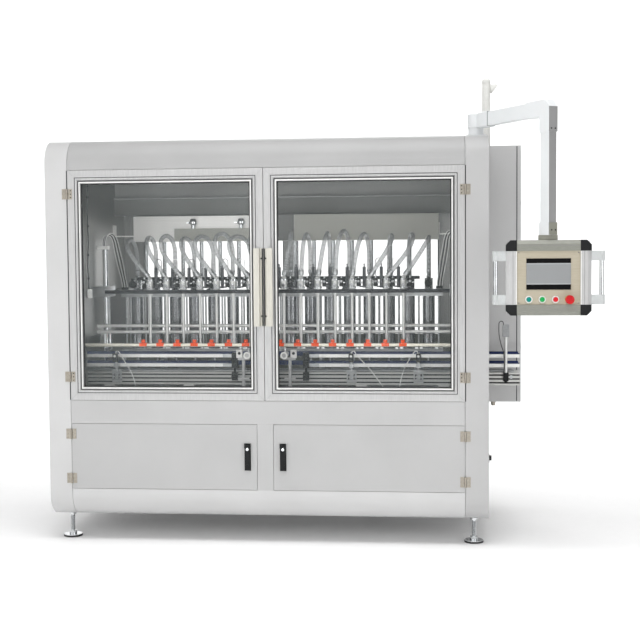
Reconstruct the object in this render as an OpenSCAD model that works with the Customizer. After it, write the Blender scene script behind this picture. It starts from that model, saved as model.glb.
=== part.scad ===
// Sixteen-head inline piston filler for bottles: a closed housing with two glass doors,
// a bottle conveyor running through it, sixteen nozzles fed by sixteen dosing cylinders,
// an electrical cabinet on the right end and an operator panel on a swivel arm.
// Sizes are in millimetres. Machine coordinates: X = 0 at the middle of the housing,
// Y = 0 at its front face, Z = 0 at the floor.

/* [Housing] */
// Width over both end housings
body_w = 2320; // [2240:10:2440]
// Depth of the housing
body_d = 1150; // [1120:10:1300]
// Width of each end housing
end_w = 120; // [110:5:130]
// Radius of the long rounded edges
corner_r = 125; // [90:5:140]
// Thickness of the housing sheet
sheet_t = 3; // [2:0.5:4]
// Clear height under the housing
foot_h = 135; // [110:5:180]
// Height of the bottom cover at the front
kick_h = 154; // [150:2:200]
// Height of the base doors
base_door_h = 349; // [330:5:400]
// Height of the waist panel
waist_h = 122; // [110:2:150]
// Height of the glass doors
glass_door_h = 1215; // [1200:5:1300]
// Height of the top cover at the front
cowl_h = 158; // [150:2:200]
// Shut line between neighbouring panels
seam = 2; // [1:0.5:4]

/* [Frame] */
// Side of the square frame tubes
tube_s = 50; // [40:5:60]
// Wall of the square frame tubes
tube_t = 3; // [2:0.5:5]
// Inset of the frame posts and feet from the sides of the housing
post_in = 73; // [65:1:80]
// Thickness of the machine table
table_t = 10; // [8:1:15]
// Radius of the foot discs
foot_r = 49; // [40:1:60]
// Radius of the foot stems
stem_r = 11; // [8:0.5:14]
// Width of the post between the base doors
base_post_w = 84; // [60:2:100]

/* [Doors] */
// Gap between the two glass doors
door_gap = 3; // [2:0.5:5]
// Width of the door frame profile
stile_w = 69; // [60:1:80]
// Depth of the door frame profile
stile_d = 30; // [26:1:40]
// Thickness of the door glass
glass_t = 6; // [4:0.5:8]
// Length of the pull handles
handle_l = 405; // [300:5:500]
// Height of the handle centre above the foot of the glass door
handle_z = 595; // [500:5:650]
// Depth of the base doors
base_door_d = 20; // [15:1:30]
// Distance of the hinges from the ends of the glass doors
hinge_in = 126; // [80:2:200]
// Distance of the hinges from the ends of the base doors
base_hinge_in = 56; // [45:1:80]
// Length of a hinge
hinge_l = 54; // [40:1:70]
// Width of a hinge leaf from the pin
leaf_w = 27; // [20:1:35]
// Radius of the hinge knuckles
knuckle_r = 6; // [5:0.5:7]
// Radius of the hinge pins
pin_r = 3; // [2:0.5:3.5]

/* [Conveyor] */
// Distance from the front face to the bottle lane
lane_y = 450; // [440:5:470]
// Height of the chain above the table
chain_rise = 115; // [105:1:130]
// Width of the slat chain
chain_w = 114; // [100:1:120]
// Reach of the conveyor past the left end housing
infeed_out = 100; // [80:5:120]
// Reach of the conveyor past the right end housing
outfeed_out = 180; // [150:5:220]
// Radius of the end drums
drum_r = 28; // [24:0.5:30]
// Pitch of the chain slats
slat_pitch = 38.1; // [25.4:0.1:50.8]
// Clear width between the guide rails
lane_w = 104; // [80:1:106]
// Height of the lower guide rails above the chain
low_rail_z = 20; // [15:1:30]
// Height of the upper guide rails above the chain
high_rail_z = 72; // [65:1:80]
// Width of the bottle windows in the end housings
window_w = 270; // [255:5:290]
// Height of the bottle windows above the chain
window_h = 190; // [170:5:195]

/* [Filling] */
// Number of filling heads
heads = 16; // [8:2:16]
// Pitch of the nozzles
nozzle_pitch = 95; // [80:1:98]
// Radius of the nozzle tubes
nozzle_r = 8.5; // [6:0.5:10]
// Height of the nozzle tips above the chain
tip_z = 145; // [130:5:160]
// Height of the nozzle bar above the chain
bar_z = 426; // [410:2:440]
// Lift of the nozzle bar
nozzle_lift = 120; // [60:5:130]
// Pitch of the dosing cylinders
cyl_pitch = 113; // [100:1:116]
// Distance from the front face to the dosing cylinders
cyl_y = 700; // [690:5:715]
// Bore radius of the dosing cylinders
cyl_r = 30; // [24:0.5:32]
// Wall of the dosing cylinders
cyl_t = 5; // [3:0.5:6]
// Length of the dosing cylinders
cyl_l = 300; // [280:5:320]
// Outer radius of the product hoses
hose_r = 11; // [9:0.5:13]
// Wall of the product hoses
hose_t = 2.7; // [2:0.1:3.5]
// Straight length of each hose leg
hose_leg = 125; // [80:5:140]
// Outward lean in degrees of most hoses where they leave their nozzles
hose_lean = 37; // [20:1:40]
// Outward lean in degrees of the upright hoses right of the middle
hose_upright = 7; // [4:1:15]
// Distance from the front face to the product tank
tank_y = 850; // [840:5:860]
// Depth of the product tank
tank_d = 140; // [120:5:150]
// Height of the product tank
tank_h = 149; // [120:1:160]
// Length of the product tank
tank_l = 1810; // [1780:10:1860]
// Height of the tank floor above the chain
tank_rise = 722; // [700:2:740]

/* [Electrical cabinet] */
// Depth of the cabinet from the end housing
cab_w = 180; // [150:5:220]
// Width of the cabinet along the end housing
cab_l = 480; // [400:10:500]
// Height of the cabinet
cab_h = 1430; // [1300:10:1480]
// Distance from the front face to the cabinet
cab_y = 600; // [585:5:620]
// Height of the cabinet floor
cab_z = 690; // [640:5:720]
// Depth of the cabinet door
cab_door_d = 20; // [15:1:30]
// Height of the signal pole
pole_h = 408; // [300:4:500]

/* [Operator panel] */
// Length of the swivel arm between its axes
arm_l = 632; // [600:2:700]
// Angle of the arm from the machine's width towards the front
arm_angle = 59; // [50:1:65]
// Height of the arm profile
arm_h = 70; // [60:1:80]
// Thickness of the arm profile
arm_t = 42; // [36:1:50]
// Width of the panel
hmi_w = 403; // [380:1:430]
// Height of the panel
hmi_h = 360; // [340:1:380]
// Depth of the panel's front frame
hmi_frame_d = 40; // [30:1:50]
// Width of the panel's frame profile
hmi_frame_w = 52; // [45:1:60]
// Drop from the arm to the top of the panel
hmi_drop = 628; // [600:2:660]
// Pitch of the push buttons
button_pitch = 63; // [55:1:66]

/* [Hidden] */
$fn = 48;

// Clearances
run_fit = 0.05;
loose_fit = 0.3;
swing_fit = 0.4;
seat = 0.2;

// Heights of the housing's shut lines
z_door = foot_h + kick_h;
z_waist = z_door + base_door_h;
z_glass = z_waist + waist_h;
z_cowl = z_glass + glass_door_h;
z_top = z_cowl + cowl_h;
body_h = z_top - foot_h;
half_w = body_w / 2;
in_x = half_w - end_w;

// Frame
post_x = half_w - post_in;
post_y = corner_r + tube_s / 2;
rear_post_y = body_d - post_y;
z_table = z_glass + table_t;

// Conveyor
z_chain = z_table + chain_rise;
slat_t = 4;
drum_z = z_chain - slat_t - loose_fit - drum_r;
beam_t = 20;
beam_h = 70;
beam_z = z_chain - 8 - beam_h;
beam_y = chain_w / 2 + 3;
conv_x0 = -half_w - infeed_out;
conv_x1 = half_w + outfeed_out;
drum_in = 45;
shaft_r = 10;
rail_t = 10;
rail_h = 18;
strip_t = 7;
strip_h = 24;
clamp_s = 26;
rail_post_r = 7;
rail_post_y = beam_y + beam_t + clamp_s / 2;
rail_gap_x0 = -263;
rail_gap_x1 = 223;
bracket_x = [-887, 428, 794];
rail_post_top = z_chain + 100;
win_z0 = beam_z - 15;
win_z1 = z_chain + window_h;

// Filling
bar_t = 20;
bar_d = 60;
z_tip = z_chain + tip_z;
z_bar = z_chain + bar_z;
valve_h = 64;
plate_t = 25;
plate_rise = 190;
z_cyl = z_table + plate_rise + plate_t;
z_cyl_top = z_cyl + cyl_l;
plate_d = 120;
rod_r = 8;
beam_gap = 15;
drive_t = 25;
drive_d = 60;
clamp_h = 12;
barb_r = hose_r - hose_t - loose_fit;
barb_l = 36;
ball_r = 13;
hose_start = 16;
hose_swell = 0.2;
hose_lap = 1;
hose_vary = 3;
leg_vary = 15;
upright_heads = 5;
z_hose = z_cyl_top + plate_t + clamp_h + valve_h + 9;
feed_r = 12;
feed_bore = 9;
feed_bend = 40;
feed_y = tank_y + tank_d / 2;
z_feed = z_cyl_top + plate_t + clamp_h + 38;
z_tank = z_chain + tank_rise;
tank_t = 3;
header_x = -650;
header_d = 35;
header_h = 75;
bracket_y = [tank_y + 30, tank_y + 90];
bracket_z = 30;
bracket_t = 7;
bracket_h = 70;
inlet_r = 25.4;
inlet_bore = 22.4;
inlet_out = 60;
z_inlet = z_tank + 85;
lift_x = in_x - 40;
lift_y = lane_y + 115;
lift_col_r = 15;
lift_cyl_y = lane_y + 175;
block_h = 60;
block_w = 70;
z_block = z_bar + bar_t / 2 - block_h / 2;
lift_top = z_block + block_h + nozzle_lift + 90;
neck_y = 280;
z_neck = z_chain + 151;

// Doors
pin_y = -knuckle_r - 0.5;
leaf_t = 3;
groove_d = 12;
glass_y = 14;
lip_w = 30;
lip_out = 28;
flange_w = 17;
plate_thin = 3;
latch_x = 77;
latch_w = 33;
latch_h = 143;
latch_z = z_door + 105;
latch_pin_y = -10;
latch_pin_r = 2.5;
latch_t = 4;
latch_pin_in = 12;
ear_h = 23;
ear_out = 6;
lever_r = 5;

// Cabinet
cab_t = 2;
cab_x = half_w + cab_w;
cab_gap = 1;
cab_pin_x = cab_x + cab_gap + cab_door_d / 2;
cab_pin_y = cab_y + cab_l + 8;
pole_x = half_w + 20;
pole_y = cab_y + 300;
pole_r = 18;
horn_drop = 58;
horn_l = 34;
horn_r = 27;

// Operator panel
arm_x = half_w - end_w / 2;
arm_y = 200;
arm_wall = 4;
z_arm = z_top + 79;
hub_r = 44;
arm_pin_r = 20;
hub_cap = 21;
arm_pin_h = arm_h - hub_cap;
swivel_r = 14;
swivel_l = 20;
pedestal_h = z_arm - arm_h / 2 - z_top;
hmi_x = arm_x + arm_l * cos(arm_angle);
hmi_y = arm_y - arm_l * sin(arm_angle);
z_hmi = z_arm - hmi_drop - hmi_h;
z_mid = z_hmi + hmi_h / 2;
z_coupling = z_hmi + hmi_h + 24;
hmi_face = hmi_y - hmi_frame_d;
hmi_case_d = 60;
case_in = 6;
case_t = 3;
frame_back = 8;
bevel_x = 0.35 * hmi_frame_w;
bevel_y = 0.28 * hmi_frame_d;
face_in = 6;
coupling_w = 88;
coupling_y = [-20, 34];
corner_cut = 22;
handle_out = 64;
handle_block = 47;
handle_rod_r = 11;
handle_bend_r = 15;
screen_w = 211;
screen_h = 150;
screen_up = 18;
button_drop = 103;
button_x = -93;
button_r = 11.7;
bezel_r = 15.5;
bezel_h = 4;
bezel_l = 20;
sleeve_r = 13.7;
screen_out = 2;
button_out = 10;
button_l = 12;
estop_h = 22;
estop_r = 21;
estop_out = 42;
face_t = 3;

// Extents of the machine, which centre the origin under its outline
x_min = conv_x0;
x_max = hmi_x + hmi_w / 2 + handle_out;
y_min = hmi_face - estop_out;
y_max = body_d + inlet_out;

c_body = "#d6d7d8";
c_steel = "#b9bcbf";
c_alu = "#cfd1d2";
c_dark = "#2b2d2f";
c_orange = "#ff5a12";
c_blue = "#1d2f63";
c_glass = [0.8, 0.9, 0.92, 0.35];

// Helpers
module machine() translate([-(x_min + x_max) / 2, -(y_min + y_max) / 2, 0]) children();

module flip(s) mirror([s < 0 ? 1 : 0, 0, 0]) children();

module box(x, y, z) translate([x[0], y[0], z[0]]) cube([x[1] - x[0], y[1] - y[0], z[1] - z[0]]);

module rod_z(x, y, z, r) translate([x, y, z[0]]) cylinder(h = z[1] - z[0], r = r);

module rod_y(x, y, z, r) translate([x, y[0], z]) rotate([-90, 0, 0]) cylinder(h = y[1] - y[0], r = r);

module rod_x(x, y, z, r) translate([x[0], y, z]) rotate([0, 90, 0]) cylinder(h = x[1] - x[0], r = r);

module tube_box(x, y, z, axis) difference() {
    box(x, y, z);
    box(
        axis == 0 ? [x[0] - 1, x[1] + 1] : [x[0] + tube_t, x[1] - tube_t],
        axis == 1 ? [y[0] - 1, y[1] + 1] : [y[0] + tube_t, y[1] - tube_t],
        axis == 2 ? [z[0] - 1, z[1] + 1] : [z[0] + tube_t, z[1] - tube_t]
    );
}

// Housing section across the machine, set in by a distance
module section(inset) {
    r = corner_r - inset;
    translate([inset, foot_h + corner_r]) square([body_d - 2 * inset, body_h - 2 * corner_r]);
    translate([corner_r, foot_h + inset]) square([body_d - 2 * corner_r, body_h - 2 * inset]);
    for (y = [corner_r, body_d - corner_r], z = [foot_h + corner_r, z_top - corner_r])
        translate([y, z]) circle(r = r);
}

module skin(x, inset) translate([x[0], 0, 0]) rotate([90, 0, 90])
    linear_extrude(height = x[1] - x[0]) section(inset);

// Positions of the heads across the machine
function head_x(i, pitch) = (i - (heads - 1) / 2) * pitch;

function head_side(i) = i < heads / 2 ? -1 : 1;

function right_twin(i) = i < heads / 2 ? heads - 1 - i : i;

// Ends of the hoses, on the right-hand twin of each head: leaning on the nozzle, upright on the valve
function lean(i) = (i >= heads / 2 && i < heads / 2 + upright_heads ? hose_upright : hose_lean)
    + (i % 2 == 0 ? hose_vary : -hose_vary);

function rear_leg(i) = hose_leg + (i % 3 - 1) * leg_vary;

function nozzle_end(i) = [head_x(right_twin(i), nozzle_pitch), lane_y, z_hose];

function valve_end(i) = [head_x(right_twin(i), cyl_pitch), cyl_y, z_hose];

module at_nozzle(i) flip(head_side(i)) translate(nozzle_end(i)) rotate([0, lean(i), 0]) children();

module at_valve(i) flip(head_side(i)) translate(valve_end(i)) children();

// Housing
module end_shell() difference() {
    skin([in_x, half_w], 0);
    skin([in_x - 1, half_w - sheet_t], sheet_t);
    box([half_w - sheet_t - 1, half_w + 1], [lane_y - window_w / 2, lane_y + window_w / 2],
        [win_z0, win_z1]);
    for (y = [post_y, rear_post_y])
        rod_z(post_x, y, [foot_h - 1, foot_h + sheet_t + 1], stem_r + loose_fit);
}

module left_end_housing() color(c_body) machine() flip(-1) end_shell();

// Air inlet on the right end: a block with a threaded port
inlet_y = 300;
inlet_z = 422;
inlet_s = 44;
air_block_t = 14;
air_boss_r = 14;
air_boss_l = 26;
air_r = 6.6;
air_l = 18;

module right_end_housing() color(c_body) machine() {
    end_shell();
    difference() {
        union() {
            box([half_w + seat, half_w + air_block_t], [inlet_y - inlet_s / 2, inlet_y + inlet_s / 2],
                [inlet_z - inlet_s / 2, inlet_z + inlet_s / 2]);
            rod_x([half_w + seat, half_w + air_boss_l], inlet_y, inlet_z, air_boss_r);
        }
        rod_x([half_w + air_boss_l - air_l, half_w + air_boss_l + 1], inlet_y, inlet_z, air_r);
    }
}

module cover_band(z) intersection() {
    difference() {
        skin([-in_x + seam, in_x - seam], 0);
        skin([-in_x, in_x], sheet_t);
    }
    box([-in_x, in_x], [-1, body_d + 1], z);
}

module top_cover() color(c_body) machine() cover_band([z_cowl, z_top + 1]);

module bottom_cover() color(c_body) machine() cover_band([foot_h - 1, z_door]);

module frame_tubes() color(c_steel) machine() {
    z_low = [foot_h + sheet_t, foot_h + sheet_t + tube_s];
    z_high = [z_top - sheet_t - tube_s, z_top - sheet_t];
    z_mid_tube = [z_glass - sheet_t - tube_s, z_glass - sheet_t];
    inner = post_x - tube_s / 2;
    for (s = [-1, 1]) flip(s) {
        x = [inner, inner + tube_s];
        difference() {
            tube_box(x, [corner_r, body_d - corner_r], z_low, 1);
            for (y = [post_y, rear_post_y])
                rod_z(post_x, y, [foot_h, z_low[0] + tube_t + 1], stem_r + loose_fit);
        }
        tube_box(x, [corner_r, body_d - corner_r], z_high, 1);
        tube_box(x, [post_y + tube_s / 2 + seat, rear_post_y - tube_s / 2 - seat], z_mid_tube, 1);
        for (y = [post_y, rear_post_y])
            tube_box(x, [y - tube_s / 2, y + tube_s / 2], [z_low[1] + seat, z_high[0] - seat], 2);
    }
    for (y = [post_y, rear_post_y], z = [z_low, z_high, z_mid_tube])
        tube_box([-inner + seat, inner - seat], [y - tube_s / 2, y + tube_s / 2], z, 0);
}

module machine_table() color(c_steel) machine() difference() {
    box([-in_x, in_x], [60, body_d - 60], [z_glass, z_table]);
    rod_z(0, cyl_y, [z_glass - 1, z_table + 1], actuator_rod_r + loose_fit);
}

// Waist panels at front and rear, with the post between the base doors
module waist() {
    x = [-in_x + seam, in_x - seam];
    box(x, [0, sheet_t], [z_waist, z_glass]);
    box(x, [0, post_y + tube_s / 2], [z_glass - sheet_t, z_glass]);
    box(x, [0, 40], [z_waist, z_waist + sheet_t]);
}

module waist_panels() color(c_body) machine() {
    waist();
    translate([0, body_d, 0]) mirror([0, 1, 0]) waist();
    tube_box([-base_post_w / 2, base_post_w / 2], [0, 40], [z_door, z_waist - seat], 2);
}

// Rear wall with two windows, and the plain panel under it
rear_stile = 135;
rear_win_z = [z_glass + 220, z_tank + 95];

module rear_window(s) flip(s)
    box([base_post_w / 2, in_x - rear_stile], [body_d - sheet_t - 1, body_d + 1], rear_win_z);

module rear_wall() color(c_body) machine() {
    difference() {
        box([-in_x + seam, in_x - seam], [body_d - sheet_t, body_d], [z_glass, z_cowl]);
        for (s = [-1, 1]) rear_window(s);
        rod_y(0, [body_d - sheet_t - 1, body_d + 1], z_inlet, inlet_r + loose_fit);
    }
    box([-in_x + seam, in_x - seam], [body_d - sheet_t, body_d], [z_door, z_waist]);
}

module rear_glass() color(c_glass) machine() for (s = [-1, 1]) flip(s)
    box([base_post_w / 2 - 8, in_x - rear_stile + 30], [body_d - sheet_t - 5, body_d - sheet_t],
        [rear_win_z[0] - 30, rear_win_z[1] + 15]);

// Side liners of the filling space, the header duct and the service box
service_y = [790, 960];
service_z = [z_chain + 225, z_chain + 445];

module inner_panels() color(c_steel) machine() {
    for (s = [-1, 1]) flip(s) difference() {
        box([in_x, in_x + sheet_t], [sheet_t, body_d - sheet_t], [z_glass, z_cowl]);
        box([in_x - 1, in_x + sheet_t + 1], [lane_y - window_w / 2, lane_y + window_w / 2],
            [win_z0, win_z1]);
    }
    duct_x = [-in_x + seat, in_x - seat];
    box(duct_x, [tank_y + 60, tank_y + tank_d], [z_tank + tank_h + 10, z_tank + tank_h + 112]);
    box(duct_x, [tank_y + 90, tank_y + tank_d], [z_tank + tank_h + 112, z_cowl]);
    box([-in_x + seat, -in_x + 100], service_y, service_z);
}

// Product tank: an open trough of five plates with a header box along its front, brackets and
// the inlet pipe with its ferrule
module product_tank() color(c_steel) machine() {
    x = tank_l / 2;
    wall_z = [z_tank + tank_t + seat, z_tank + tank_h];
    difference() {
        box([-x, x], [tank_y, tank_y + tank_d], [z_tank, z_tank + tank_t]);
        for (i = [0 : heads - 1])
            rod_z(head_x(i, cyl_pitch), feed_y, [z_tank - 1, z_tank + tank_t + 1], feed_bore);
    }
    box([-x, x], [tank_y, tank_y + tank_t], wall_z);
    tube_box([header_x, x], [tank_y - header_d, tank_y - seat], [z_tank, z_tank + header_h], 0);
    difference() {
        box([-x, x], [tank_y + tank_d - tank_t, tank_y + tank_d], wall_z);
        rod_y(0, [tank_y + tank_d - tank_t - 1, tank_y + tank_d + 1], z_inlet, inlet_bore);
    }
    for (s = [-1, 1]) flip(s) {
        box([x - tank_t, x], [tank_y + tank_t + seat, tank_y + tank_d - tank_t - seat], wall_z);
        box([x + seat, in_x], bracket_y, [z_tank + bracket_z, z_tank + bracket_z + bracket_t]);
        box([x + seat, x + bracket_t], bracket_y, [z_tank + bracket_z, z_tank + bracket_z + bracket_h]);
        box([in_x - bracket_t, in_x], bracket_y, [z_tank + bracket_z, z_tank + bracket_z + bracket_h]);
    }
    difference() {
        union() {
            rod_y(0, [tank_y + tank_d + seat, y_max], z_inlet, inlet_r);
            rod_y(0, [y_max - 7, y_max], z_inlet, inlet_r + 6.6);
        }
        rod_y(0, [tank_y + tank_d - 1, y_max + 1], z_inlet, inlet_bore);
    }
}

// Dosing cylinders between two plates
plate_x = head_x(heads - 1, cyl_pitch) + cyl_pitch / 2 + 25;
pillar_x = [0.25, 0.75];

module dosing_plate(z, bore) difference() {
    box([-plate_x, plate_x], [cyl_y - plate_d / 2, cyl_y + plate_d / 2], [z, z + plate_t]);
    for (i = [0 : heads - 1])
        rod_z(head_x(i, cyl_pitch), cyl_y, [z - 1, z + plate_t + 1], bore);
}

// Plates, the tie rods between them and the pillars that carry them on the table
tie_r = 5;
tie_y = 42;
pillar_r = 10;
pillar_y = 48;

module cylinder_stand() color(c_steel) machine() {
    dosing_plate(z_cyl - plate_t, rod_r + run_fit);
    dosing_plate(z_cyl_top, feed_r);
    for (i = [0 : heads], y = [-tie_y, tie_y])
        rod_z(head_x(i - 0.5, cyl_pitch), cyl_y + y, [z_cyl + seat, z_cyl_top - seat], tie_r);
    for (s = [-1, 1], k = pillar_x, y = [-pillar_y, pillar_y])
        rod_z(s * k * plate_x, cyl_y + y, [z_table, z_cyl - plate_t - seat], pillar_r);
}

module cylinder_tubes() color("#c9ccce") machine() for (i = [0 : heads - 1]) difference() {
    rod_z(head_x(i, cyl_pitch), cyl_y, [z_cyl, z_cyl_top], cyl_r + cyl_t);
    rod_z(head_x(i, cyl_pitch), cyl_y, [z_cyl - 1, z_cyl_top + 1], cyl_r);
}

// Three-way valve on each dosing cylinder
valve_r = 24;
port_r = 15;
port_out = 75;
feed_out = 70;

module dosing_valves() color("#d5d7d9") machine() for (i = [0 : heads - 1]) {
    x = head_x(i, cyl_pitch);
    z0 = z_cyl_top + plate_t;
    rod_z(x, cyl_y, [z0, z0 + clamp_h], valve_r + 8);
    union() {
        rod_z(x, cyl_y, [z0 + clamp_h, z0 + clamp_h + valve_h], valve_r);
        rod_y(x, [cyl_y - port_out, cyl_y], z_feed, port_r);
        rod_y(x, [cyl_y, cyl_y + feed_out], z_feed, feed_r);
        translate([x, cyl_y, z_hose]) sphere(r = ball_r);
        at_valve(i) cylinder(h = barb_l, r = barb_r);
    }
}

// Tubes from the tank floor down to the valves
module feed_path(x, r, over) {
    rod_y(x, [cyl_y + feed_out - over, feed_y - feed_bend], z_feed, r);
    translate([x, feed_y - feed_bend, z_feed + feed_bend]) rotate([0, 90, 0])
        rotate_extrude(angle = 90) translate([feed_bend, 0]) circle(r = r);
    rod_z(x, feed_y, [z_feed + feed_bend, z_tank + over], r);
}

module feed_tubes() color(c_alu) machine() for (i = [0 : heads - 1]) difference() {
    feed_path(head_x(i, cyl_pitch), feed_r, 0);
    feed_path(head_x(i, cyl_pitch), feed_bore, 1);
}

// Product hoses: two straight legs joined by two arcs, pushed over a tail at each end
module hose_straight(l, r) translate([0, 0, hose_start]) difference() {
    cylinder(h = l + hose_lap - hose_start, r = r);
    translate([0, 0, -1]) cylinder(h = barb_l - hose_start + 3, r = hose_r - hose_t);
}

// One arc that leaves point a along the unit vector way and ends a lap beyond point b
module hose_arc(a, way, b, r, lap) {
    span = norm(b - a);
    turn = acos(way * (b - a) / span);
    bend = span / (2 * sin(turn));
    inward = ((b - a) / span - way * cos(turn)) / sin(turn);
    side = cross(-inward, way);
    mid = a + bend * inward;
    multmatrix([for (j = [0 : 2]) [-inward[j], way[j], side[j], mid[j]]])
        rotate_extrude(angle = 2 * turn + lap / bend * 180 / PI) translate([bend, 0]) circle(r = r);
}

// The arcs meet where both have run equally far from the ends of the legs
module hose_arch(i) {
    up = [0, 0, 1];
    way = [sin(lean(i)), 0, cos(lean(i))];
    a = nozzle_end(i) + way * hose_leg;
    b = valve_end(i) + up * rear_leg(i);
    fall = (b - a) * (way - up);
    q = 1 + cos(lean(i));
    reach = (sqrt(fall * fall + 2 * q * (b - a) * (b - a)) - fall) / (2 * q);
    meet = (a + way * reach + b + up * reach) / 2;
    hose_arc(a, way, meet, hose_r, hose_lap);
    hose_arc(b, up, meet, hose_r + hose_swell, 0);
}

module product_hoses() color([0.85, 0.88, 0.88, 0.5]) machine() for (i = [0 : heads - 1]) {
    at_nozzle(i) hose_straight(hose_leg, hose_r + hose_swell);
    at_valve(i) hose_straight(rear_leg(i), hose_r);
    flip(head_side(i)) hose_arch(i);
}

// Lift of the nozzle bar: guide columns, their caps and the lift cylinders
lift_cyl_r = 20;
lift_rod_r = 8;
lift_cyl_h = 310;

module lift_units() color(c_alu) machine() for (s = [-1, 1]) flip(s) {
    rod_z(lift_x, lift_y, [z_table, lift_top], lift_col_r);
    box([lift_x - 20, in_x], [lift_y - 25, lift_y + 25], [lift_top, lift_top + 20]);
    difference() {
        rod_z(lift_x, lift_cyl_y, [z_table, z_table + lift_cyl_h], lift_cyl_r);
        rod_z(lift_x, lift_cyl_y, [z_table + 20, z_table + lift_cyl_h + 1], lift_rod_r + run_fit);
    }
}

// Electric actuator under the table that drives the pistons
actuator_rod_r = 15;
actuator_s = 90;
actuator_l = 380;

module drive_actuator() color("#5b6068") machine() {
    difference() {
        box([-actuator_s / 2, actuator_s / 2], [cyl_y - actuator_s / 2, cyl_y + actuator_s / 2],
            [z_glass - actuator_l, z_glass]);
        rod_z(0, cyl_y, [z_glass - actuator_l + 20, z_glass + 1], actuator_rod_r + run_fit);
    }
    rod_z(0, cyl_y, [z_glass - actuator_l - 120, z_glass - actuator_l], 40);
}

// Conveyor beams with their spacers and feet
spacer_x = [-900, -450, 0, 450, 900];

module conveyor_beam() {
    y = [beam_y, beam_y + beam_t];
    difference() {
        box([conv_x0, conv_x1], y, [beam_z, beam_z + beam_h]);
        for (z = [14, 35, 56])
            box([conv_x0 - 1, conv_x1 + 1], [y[1] - 5, y[1] + 1], [beam_z + z - 4, beam_z + z + 4]);
        for (x = [conv_x0 + drum_in, conv_x1 - drum_in])
            rod_y(x, [y[0] - 1, y[1] + 1], drum_z, shaft_r + run_fit);
        for (z = infeed_bolt_z) rod_x([conv_x0 - 1, conv_x0 + bolt_l], y[0] + bolt_y, beam_z + z, bolt_r);
        for (z = outfeed_bolt_z) rod_x([conv_x1 - bolt_l, conv_x1 + 1], y[0] + bolt_y, beam_z + z, bolt_r);
    }
}

bolt_r = 3.4;
bolt_l = 22;
bolt_y = 8;
infeed_bolt_z = [10, 60];
outfeed_bolt_z = [15, 55];

module conveyor_beams() color(c_alu) machine() translate([0, lane_y, 0]) {
    for (s = [-1, 1]) mirror([0, s < 0 ? 1 : 0, 0]) {
        conveyor_beam();
        for (x = [-930, -480, 480, 930])
            box([x - 30, x + 30], [beam_y, beam_y + beam_t], [z_table, beam_z - seat]);
    }
    for (x = spacer_x) rod_y(x, [-beam_y + seat, beam_y - seat], drum_z, 8);
}

// Slat chain round both drums
module chain_loop(r, w) {
    x = [conv_x0 + drum_in, conv_x1 - drum_in];
    for (k = x) rod_y(k, [-w / 2, w / 2], drum_z, r);
    box(x, [-w / 2, w / 2], [drum_z - r, drum_z + r]);
}

module conveyor_chain() color("#8f9396") machine() translate([0, lane_y, 0]) difference() {
    chain_loop(drum_r + loose_fit + slat_t, chain_w);
    chain_loop(drum_r + loose_fit, chain_w + 2);
    for (x = [conv_x0 + drum_in : slat_pitch : conv_x1 - drum_in])
        box([x - 0.8, x + 0.8], [-chain_w, chain_w], [z_chain - 1.5, z_chain + 1]);
}

module drum(x) machine() translate([0, lane_y, 0]) {
    rod_y(x, [-chain_w / 2 + 1, chain_w / 2 - 1], drum_z, drum_r);
    rod_y(x, [-beam_y - beam_t, beam_y + beam_t], drum_z, shaft_r);
}

module drive_drum() color(c_steel) drum(conv_x1 - drum_in);

module idler_drum() color(c_steel) drum(conv_x0 + drum_in);

// Guide rails: two heights on each side, the front ones open at the bottle stops
module each_rail() {
    for (z = [low_rail_z, high_rail_z]) {
        translate([0, 0, z_chain + z]) rail_run([conv_x0, conv_x1]) children();
        translate([0, 0, z_chain + z]) mirror([0, 1, 0]) {
            rail_run([conv_x0, rail_gap_x0]) children();
            rail_run([rail_gap_x1, conv_x1]) children();
        }
    }
}

module rail_run(x) translate([x[0], lane_w / 2, 0]) rotate([90, 0, 90])
    linear_extrude(height = x[1] - x[0]) children();

module guide_rails() color(c_alu) machine() translate([0, lane_y, 0])
    each_rail() translate([strip_t, 0]) square([rail_t, rail_h]);

module rail_strips() color(c_blue) machine() translate([0, lane_y, 0])
    each_rail() square([strip_t, strip_h]);

// Posts and clamps that hold the rails on the beams, each on a shoe with two slots
shoe_w = 54;
shoe_t = 8;
shoe_z = [beam_z + 12, beam_z + beam_h + 14];
slot_x = 15;
slot_w = 8;
slot_in = 12;

module rail_bracket() {
    y0 = beam_y + beam_t;
    difference() {
        box([-shoe_w / 2, shoe_w / 2], [y0, y0 + shoe_t], shoe_z);
        for (x = [-slot_x, slot_x])
            box([x - slot_w / 2, x + slot_w / 2], [y0 - 1, y0 + shoe_t + 1],
                [shoe_z[0] + slot_in, shoe_z[1] - 2 * slot_in]);
    }
    box([-clamp_s / 2, clamp_s / 2], [y0, y0 + clamp_s], [shoe_z[1] - slot_in, shoe_z[1]]);
    rod_z(0, rail_post_y, [shoe_z[1] - slot_in, rail_post_top], rail_post_r);
    for (z = [low_rail_z, high_rail_z]) difference() {
        union() {
            box([-clamp_s / 2, clamp_s / 2], [rail_post_y - clamp_s / 2, rail_post_y + clamp_s / 2],
                [z_chain + z - 1, z_chain + z + rail_h + 1]);
            rod_y(0, [lane_w / 2 + strip_t + rail_t, rail_post_y], z_chain + z + rail_h / 2, 5);
        }
        rod_z(0, rail_post_y, [z_chain + z - 2, z_chain + z + rail_h + 2], rail_post_r);
    }
}

// Clamps on a rod at the ends of the front rails, beside the bottle stops
rail_end_out = 45;
rail_end_r = 6;
rail_end_w = 32;
rail_end_low = [beam_z + 25, beam_z + beam_h];
rail_end_high = [z_chain + low_rail_z - 4, rail_post_top];
link_in = 25;
link_t = 7;

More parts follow.
